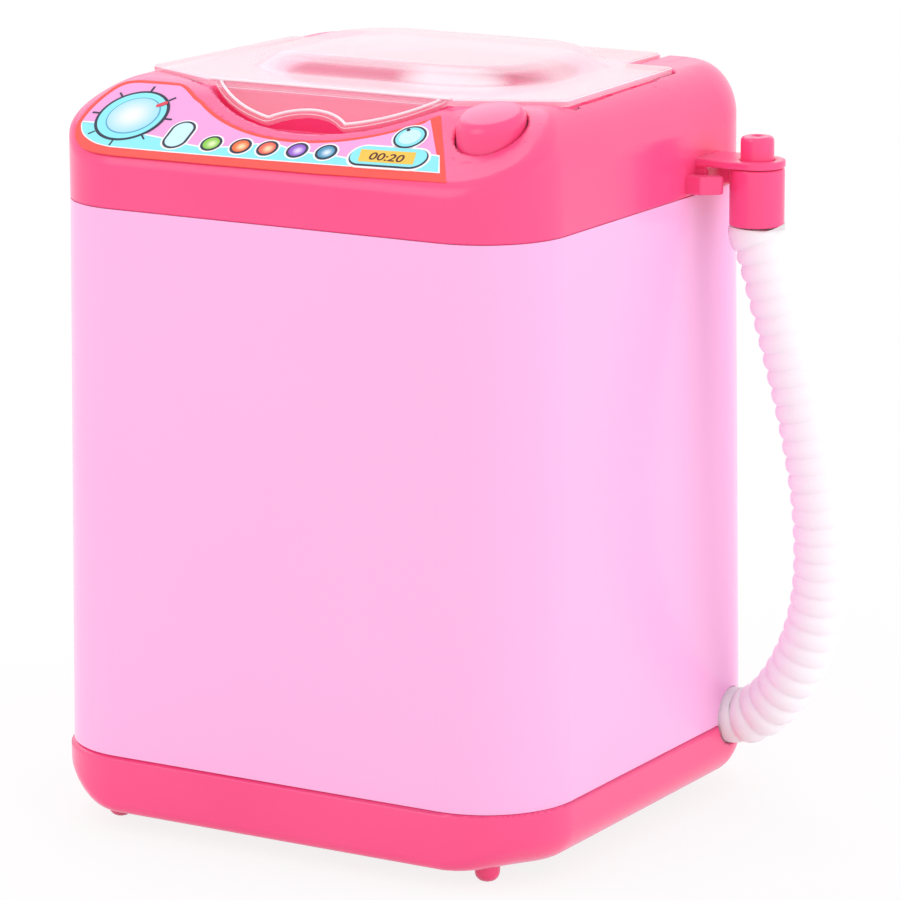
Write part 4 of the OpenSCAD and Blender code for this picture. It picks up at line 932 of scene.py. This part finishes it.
def patch(outline, level, ink):
    """One patch of ink: a thin closed plate under the outline, listed anticlockwise."""
    top = [label_build.verts.new(p) for p in on_panel(outline, INK_BASE + level * INK_STEP)]
    low = [label_build.verts.new(p) for p in on_panel(outline, -0.1)]
    faces = [label_build.faces.new(top), label_build.faces.new(low[::-1])]
    for k in range(len(top)):
        faces.append(label_build.faces.new((low[k - 1], low[k], top[k], top[k - 1])))
    number = label_materials.index(inks[ink])
    for face in faces:
        face.material_index = number

# %% Round outlines
def disc(centre, radius, steps=64):
    """Outline of a circle."""
    angles = [2 * math.pi * k / steps for k in range(steps)]
    return [(centre[0] + radius * math.cos(a), centre[1] + radius * math.sin(a)) for a in angles]


def capsule(centre, half, tilt=0.0, steps=24):
    """Outline of a bar with round ends, along its longer side."""
    wide, high = half
    end, reach = min(half), max(half) - min(half)
    c, s = math.cos(math.radians(tilt)), math.sin(math.radians(tilt))
    points = []
    for k in range(2 * steps):
        angle = math.pi * (k + 0.5) / steps + (-math.pi / 2 if wide > high else 0)
        side = 1 if k < steps else -1
        shift = (side * reach, 0) if wide > high else (0, side * reach)
        x, t = end * math.cos(angle) + shift[0], end * math.sin(angle) + shift[1]
        points.append((centre[0] + x * c - t * s, centre[1] + x * s + t * c))
    return points

# %% Label's ground: border, field and band
ARC_CENTRE, ARC_OUTER = (-0.5, 39.9), 31.9


def arc(radius, start, end, steps=36):
    """Points on the label's hollow top edge, from one place across to another."""
    return [(x, ARC_CENTRE[1] - math.sqrt(radius ** 2 - (x - ARC_CENTRE[0]) ** 2))
            for x in np.linspace(start, end, steps)]


left_end = through([(-27.2, 18.9), (-31.1, 18.9), (-35.2, 18.7), (-37.5, 17.6), (-38.9, 15.0),
                    (-39.7, 11.5), (-39.8, 7.8), (-38.9, 5.1), (-37.4, 3.0), (-35.3, 1.5),
                    (-32.5, 0.7), (-28.8, 0.45)], 6).tolist()
patch([*left_end, (-11.4, 0.6), (7.5, 0.8), (30.5, 1.6), (21.7, 16.8),
       *arc(ARC_OUTER, 21.0, -20.5), (-22.2, 16.0), (-23.5, 17.05), (-24.8, 18.0),
       (-26.0, 18.6)], 0, "border")
inner_end = through([(-26.6, 18.25), (-31.0, 18.2), (-34.8, 18.0), (-36.9, 17.0), (-38.2, 14.6),
                     (-39.0, 11.3), (-39.1, 8.0), (-38.3, 6.0), (-36.6, 4.2), (-33.8, 2.8),
                     (-30.7, 2.2)], 6).tolist()
FOOT = [(-30.7, 2.2), (-20.1, 2.3), (-2.0, 2.6), (28.4, 3.5)]
patch([*inner_end[:-1], *FOOT, (20.5, 15.6), *arc(ARC_OUTER + 0.65, 20.0, -20.7),
       (-22.5, 15.4), (-23.9, 16.5), (-25.1, 17.4), (-26.0, 17.95)], 1, "field")
BAND = [(26.3, 7.2), (24.5, 7.3), (17.0, 6.6), (11.5, 4.7), (9.9, 4.9), (5.9, 5.1), (4.6, 5.1),
        (0.2, 5.7), (-1.6, 6.2), (-5.7, 6.0), (-8.0, 5.2), (-11.1, 4.5), (-14.9, 4.1),
        (-17.0, 4.3), (-22.7, 5.3), (-26.0, 5.7), (-31.0, 7.0), (-36.7, 7.5), (-39.0, 7.4)]
band_end = [p for p in inner_end if p[1] < 7.3 and p[0] < -30.8]
patch([*FOOT, *[(x, t + 0.35) for x, t in BAND], *band_end], 2, "white")
patch([(-30.7, 2.45), (-20.1, 2.55), (-2.0, 2.85), (28.0, 3.7), *BAND,
       *[(x + 0.1, t + 0.2) for x, t in band_end]], 3, "cyan")

# %% Dial, keys and display
DIAL = (-30.95, 10.0)
dial_middle = on_panel([DIAL], 0.2)[0]
inks["dial"] = glow("ink_dial", colour(244, 245, 255), colour(160, 226, 245), dial_middle,
                    5.2 * MM)
label_materials.append(inks["dial"])
for radius, shift, level, ink in ((6.2, 0, 4, "dark"), (5.7, 0, 5, "cyan"),
                                  (4.5, 0.25, 6, "blue"), (4.3, 0.25, 7, "dial")):
    patch(disc((DIAL[0] + shift, DIAL[1]), radius), level, ink)
pointer_x, pointer_t = DIAL[0] + 5.0 * math.cos(0.7), DIAL[1] + 5.0 * math.sin(0.7)
patch(capsule((pointer_x, pointer_t), (1.0, 0.42), math.degrees(0.7)), 8, "red")
for level, grow_by, ink in ((4, 0.3, "white"), (5, 0.0, "dark"), (6, -0.42, "pale_cyan")):
    patch(capsule((-20.1, 6.5), (2.15 + grow_by, 3.35 + grow_by)), level, ink)
KEYS = (("green", -13.4, 5.2, (232, 246, 190), (140, 208, 74)),
        ("orange", -8.0, 5.2, (255, 224, 176), (243, 112, 54)),
        ("coral", -3.2, 5.3, (255, 222, 180), (242, 104, 84)),
        ("violet", 2.1, 5.5, (236, 214, 255), (150, 92, 208)),
        ("blue", 7.2, 5.7, (224, 240, 255), (70, 152, 190)))
for name, x, t, middle, rim in KEYS:
    key = "key_" + name
    inks[key] = glow("ink_" + key, colour(*middle), colour(*rim),
                     on_panel([(x + 0.2, t - 0.1)], 0.2)[0], 1.25 * MM)
    label_materials.append(inks[key])
    for radius, level, ink in ((2.1, 4, "white"), (1.8, 5, "dark"), (1.38, 6, key)):
        patch(disc((x, t), radius), level, ink)
for level, grow_by, shift, ink in ((4, 0.4, 0.0, "white"), (5, 0.0, 0.0, "dark"),
                                   (6, -0.22, 0.2, "cyan")):
    patch(capsule((18.2 - shift / 2, 5.85 + shift), (6.7 + grow_by, 2.35 + grow_by), 2), level,
          ink)
patch([(13.6, 4.3), (23.1, 4.7), (22.3, 7.5), (12.8, 7.1)], 7, "amber")
for radius, level, ink in ((2.95, 4, "white"), (2.65, 5, "dark"), (2.3, 6, "cyan"),
                           (1.75, 7, "pale_cyan")):
    patch(disc((19.35, 10.95), radius), level, ink)
patch(disc((18.3, 12.5), 0.32), 8, "dark")

# %% Ticks round the dial, by Geometry Nodes
def ring_of_ticks_tree():
    """A tree that sets a bar at even steps round a circle, each pointing outward."""
    tree, given = open_tree("ring_of_ticks", start="Geometry", count="Int", radius="Float",
                            bar_length="Float", bar_width="Float", material="Material")
    circle = add(tree, "GeometryNodeMeshCircle", {"Vertices": given["Count"],
                                                  "Radius": given["Radius"]})
    size = add(tree, "ShaderNodeCombineXYZ", {"X": given["Bar Length"], "Y": given["Bar Width"],
                                              "Z": 0.0002})
    bar = add(tree, "GeometryNodeMeshCube", {"Size": size.outputs["Vector"]})
    place = add(tree, "GeometryNodeInputPosition").outputs["Position"]
    turn = add(tree, "FunctionNodeAlignRotationToVector", {"Vector": place}, axis="X")
    spread = add(tree, "GeometryNodeInstanceOnPoints", {"Points": circle.outputs["Mesh"],
                                                        "Instance": bar.outputs["Mesh"],
                                                        "Rotation": turn.outputs["Rotation"]})
    return close_tree(tree, given, spread.outputs["Instances"])


ticks = grow("dial_ticks", new_object("tick_start", bpy.data.meshes.new("tick_start")),
             ring_of_ticks_tree(), count=8, radius=6.85 * MM, bar_length=1.2 * MM,
             bar_width=0.3 * MM, material=inks["dark"])

# %% Digits and the joined label
def panel_matrix(centre, height):
    """Turns a flat drawing about its own middle onto the panel at a place on the label."""
    lean = Matrix.Rotation(PANEL_ANGLE, 4, "X")
    return Matrix.Translation(on_panel([centre], height)[0]) @ lean


digits_text = bpy.data.curves.new("display_digits", "FONT")
digits_text.body, digits_text.extrude, digits_text.resolution_u = "00:20", 0.01, 6
digits_text.offset = 0.012
digits_text.align_x, digits_text.align_y = "CENTER", "CENTER"
digits = mesh_of(new_object("display_digits", digits_text))
corners = read(digits.vertices, "co", 3)
extent, middle = np.ptp(corners, axis=0), (corners.max(0) + corners.min(0)) / 2
DIGITS_SIZE = (6.0, 1.75, 0.2)
digits.transform(Matrix.Translation(-Vector(middle.tolist())))
digits.transform(Matrix.Diagonal((*(DIGITS_SIZE / extent * MM), 1)))
digits.transform(panel_matrix((18.0, 5.75), INK_BASE + 8 * INK_STEP - 0.1))
ticks.data.transform(panel_matrix(DIAL, INK_BASE + 4 * INK_STEP - 0.1))
for mesh, ink in ((digits, "digits"), (ticks.data, "dark")):
    first = len(label_build.faces)
    label_build.from_mesh(mesh)
    label_build.faces.ensure_lookup_table()
    for face in label_build.faces[first:]:
        face.material_index = label_materials.index(inks[ink])
bpy.data.objects.remove(ticks)
label_mesh = bpy.data.meshes.new("control_label")
label_build.to_mesh(label_mesh)
label_build.free()
for material in label_materials:
    label_mesh.materials.append(material)
label = new_object("control_label", label_mesh)
print(f"label of {len(label_mesh.polygons)} faces and {len(label_materials)} inks")

# %% [markdown]
# ## Hand the pieces over
# Each finished piece stands for its CAD node, whose part is hidden, and rides on the same body.
# Castings that overlap are joined first, with the normals that they were given.

# %% Join the castings and hand over
def merged(name, *pieces):
    """One object from several meshes that overlap."""
    build = bmesh.new()
    for piece in pieces:
        build.from_mesh(piece.data)
    mesh = bpy.data.meshes.new(name)
    build.to_mesh(mesh)
    build.free()
    for material in pieces[0].data.materials:
        mesh.materials.append(material)
    normals = np.concatenate([custom_normals(piece.data) for piece in pieces])
    for piece in pieces:
        bpy.data.objects.remove(piece)
    mesh.shade_smooth()
    mesh.normals_split_custom_set_from_vertices(normals)
    return new_object(name, mesh)


def custom_normals(mesh):
    """The mesh's normals at its vertices, as they were set."""
    normals = np.zeros((len(mesh.vertices), 3), np.float32)
    normals[read(mesh.loops, "vertex_index", 1, np.int32)[:, 0]] = read(mesh.corner_normals,
                                                                        "vector", 3)
    return normals


top_cover = merged("top_cover_moulded", cover_main, clip_main)
lid_main = merged("lid_moulded", plate_main, flap_main, rib_main)
# The second material, for the rib, is opaque white: a painted highlight line along the flap's
# edge and the bend.
lid_main.data.materials.append(plastic("painted_rib_highlight_plastic", colour(255, 238, 246), 0.3))
for piece, node, body, slot in ((top_cover, "top_cover", "body", "hot_pink"),
                                (lid_main, "lid", "lid", "clear_lid"),
                                (tray_main, "base_tray", "body", "hot_pink"),
                                (button_main, "power_button", "button", "hot_pink"),
                                (nozzle, "hose_nozzle", "body", "hot_pink"),
                                (drain_hose, "drain_hose", "body", "soft_pvc"),
                                (label, "panel_label", "body", "label_print")):
    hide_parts(node)
    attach(piece, body)

# %% [markdown]
# ## Finishes of the construction parts
# The parts that stay as they were built get the same procedural plastics, and metal for
# screws, springs and the shaft. The sleeve's cut edges are softened by a small bevel.

# %% Metal and the finishes by part
def metal(name, tint, roughness):
    """Bright metal with fine uneven polish."""
    material = plastic(name, tint, roughness, clouding=0.04, ripple=0.006)
    set_shader(material, {"Metallic": 1.0})
    return material


FINISHES = (
    (hot_pink, ("battery_door",)),
    (pale_pink, ("cabinet",)),
    (plastic("basket_plastic", colour(253, 242, 249), 0.22, 0.02),
     ("wash_basket", "tub", "drain_spigot")),
    (plastic("pulsator_plastic", colour(255, 158, 208), 0.2, 0.03), ("pulsator",)),
    (vinyl, ("drain_pipe", "tub_gasket")),
    (metal("zinc_steel", colour(206, 208, 212), 0.3),
     ("battery_door_screw", "case_screws", "cover_screws", "tub_screws", "board_screws",
      "bracket_screws", "contact_plates", "contact_springs", "button_spring", "motor_shaft")),
)
for finish, nodes in FINISHES:
    for node in nodes:
        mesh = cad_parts[node].data
        mesh.materials.clear()
        mesh.materials.append(finish)
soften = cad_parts["cabinet"].modifiers.new("soft_edges", "BEVEL")
soften.width, soften.segments, soften.harden_normals = 0.25 * MM, 2, False
soften.limit_method, soften.angle_limit = "ANGLE", math.radians(60)
print("finished:", sum(len(nodes) for _, nodes in FINISHES), "of", len(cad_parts))

# %% [markdown]
# ## Floor, light and background
# A pale floor keeps the toy's soft shadow, and looks white to the camera, in reflections and
# through the lid. Three large lamps and an even sky light the toy plainly from all sides.

# %% Floor
FLOOR_WHITE = 0.85
bpy.ops.mesh.primitive_plane_add(size=8)
floor = bpy.context.object
floor.name = "studio_floor"
floor_paint = bpy.data.materials.new("floor_paint")
floor_paint.use_nodes = True
paint = floor_paint.node_tree
set_shader(floor_paint, {"Base Color": (0.9, 0.9, 0.9, 1), "Roughness": 0.9,
                         "Specular IOR Level": 0.0})
white_glow = add(paint, "ShaderNodeEmission", {"Color": (1, 1, 1, 1), "Strength": 1.0})
share = math_node(paint, "MULTIPLY", background_rays(paint), FLOOR_WHITE)
blend = add(paint, "ShaderNodeMixShader",
            {0: share, 1: paint.nodes["Principled BSDF"].outputs["BSDF"],
             2: white_glow.outputs["Emission"]})
paint.links.new(blend.outputs["Shader"], paint.nodes["Material Output"].inputs["Surface"])
floor.data.materials.append(floor_paint)

# %% Light
SKY_LIGHT = 0.92
LAMP_AIM = Vector((0, 0, 0.06))
# name, place in metres, size, watts, tint, and whether reflections show it
LAMPS = (("soft_key", (-0.75, -1.45, 1.2), 1.2, 4.7, (1, 1, 1), True),
         ("side_fill", (1.55, 0.35, 0.42), 1.2, 6.5, (1, 1, 1), False),
         ("top_softbox", (-0.85, 0.8, 1.2), 1.4, 5.4, (1, 0.86, 1), True))
for name, place, size, power, tint, mirrored in LAMPS:
    lamp = new_object(name, bpy.data.lights.new(name, "AREA"))
    lamp.data.shape, lamp.data.size, lamp.data.energy = "DISK", size, power
    lamp.data.color = tint
    lamp.location = place
    lamp.visible_glossy = mirrored
    beam = LAMP_AIM - lamp.location
    lamp.rotation_euler = beam.to_track_quat("-Z", "Y").to_euler()

world = bpy.data.worlds.new("white_studio")
bpy.context.scene.world = world
world.use_nodes = True
sky = world.node_tree
sky.nodes.clear()
strength = add(sky, "ShaderNodeMapRange", {"Value": background_rays(sky),
                                           "To Min": SKY_LIGHT, "To Max": 1.0})
white = add(sky, "ShaderNodeBackground", {"Color": (1, 1, 1, 1),
                                          "Strength": strength.outputs["Result"]})
add(sky, "ShaderNodeOutputWorld", {"Surface": white.outputs["Background"]})

bpy.context.scene.view_settings.view_transform = "Standard"
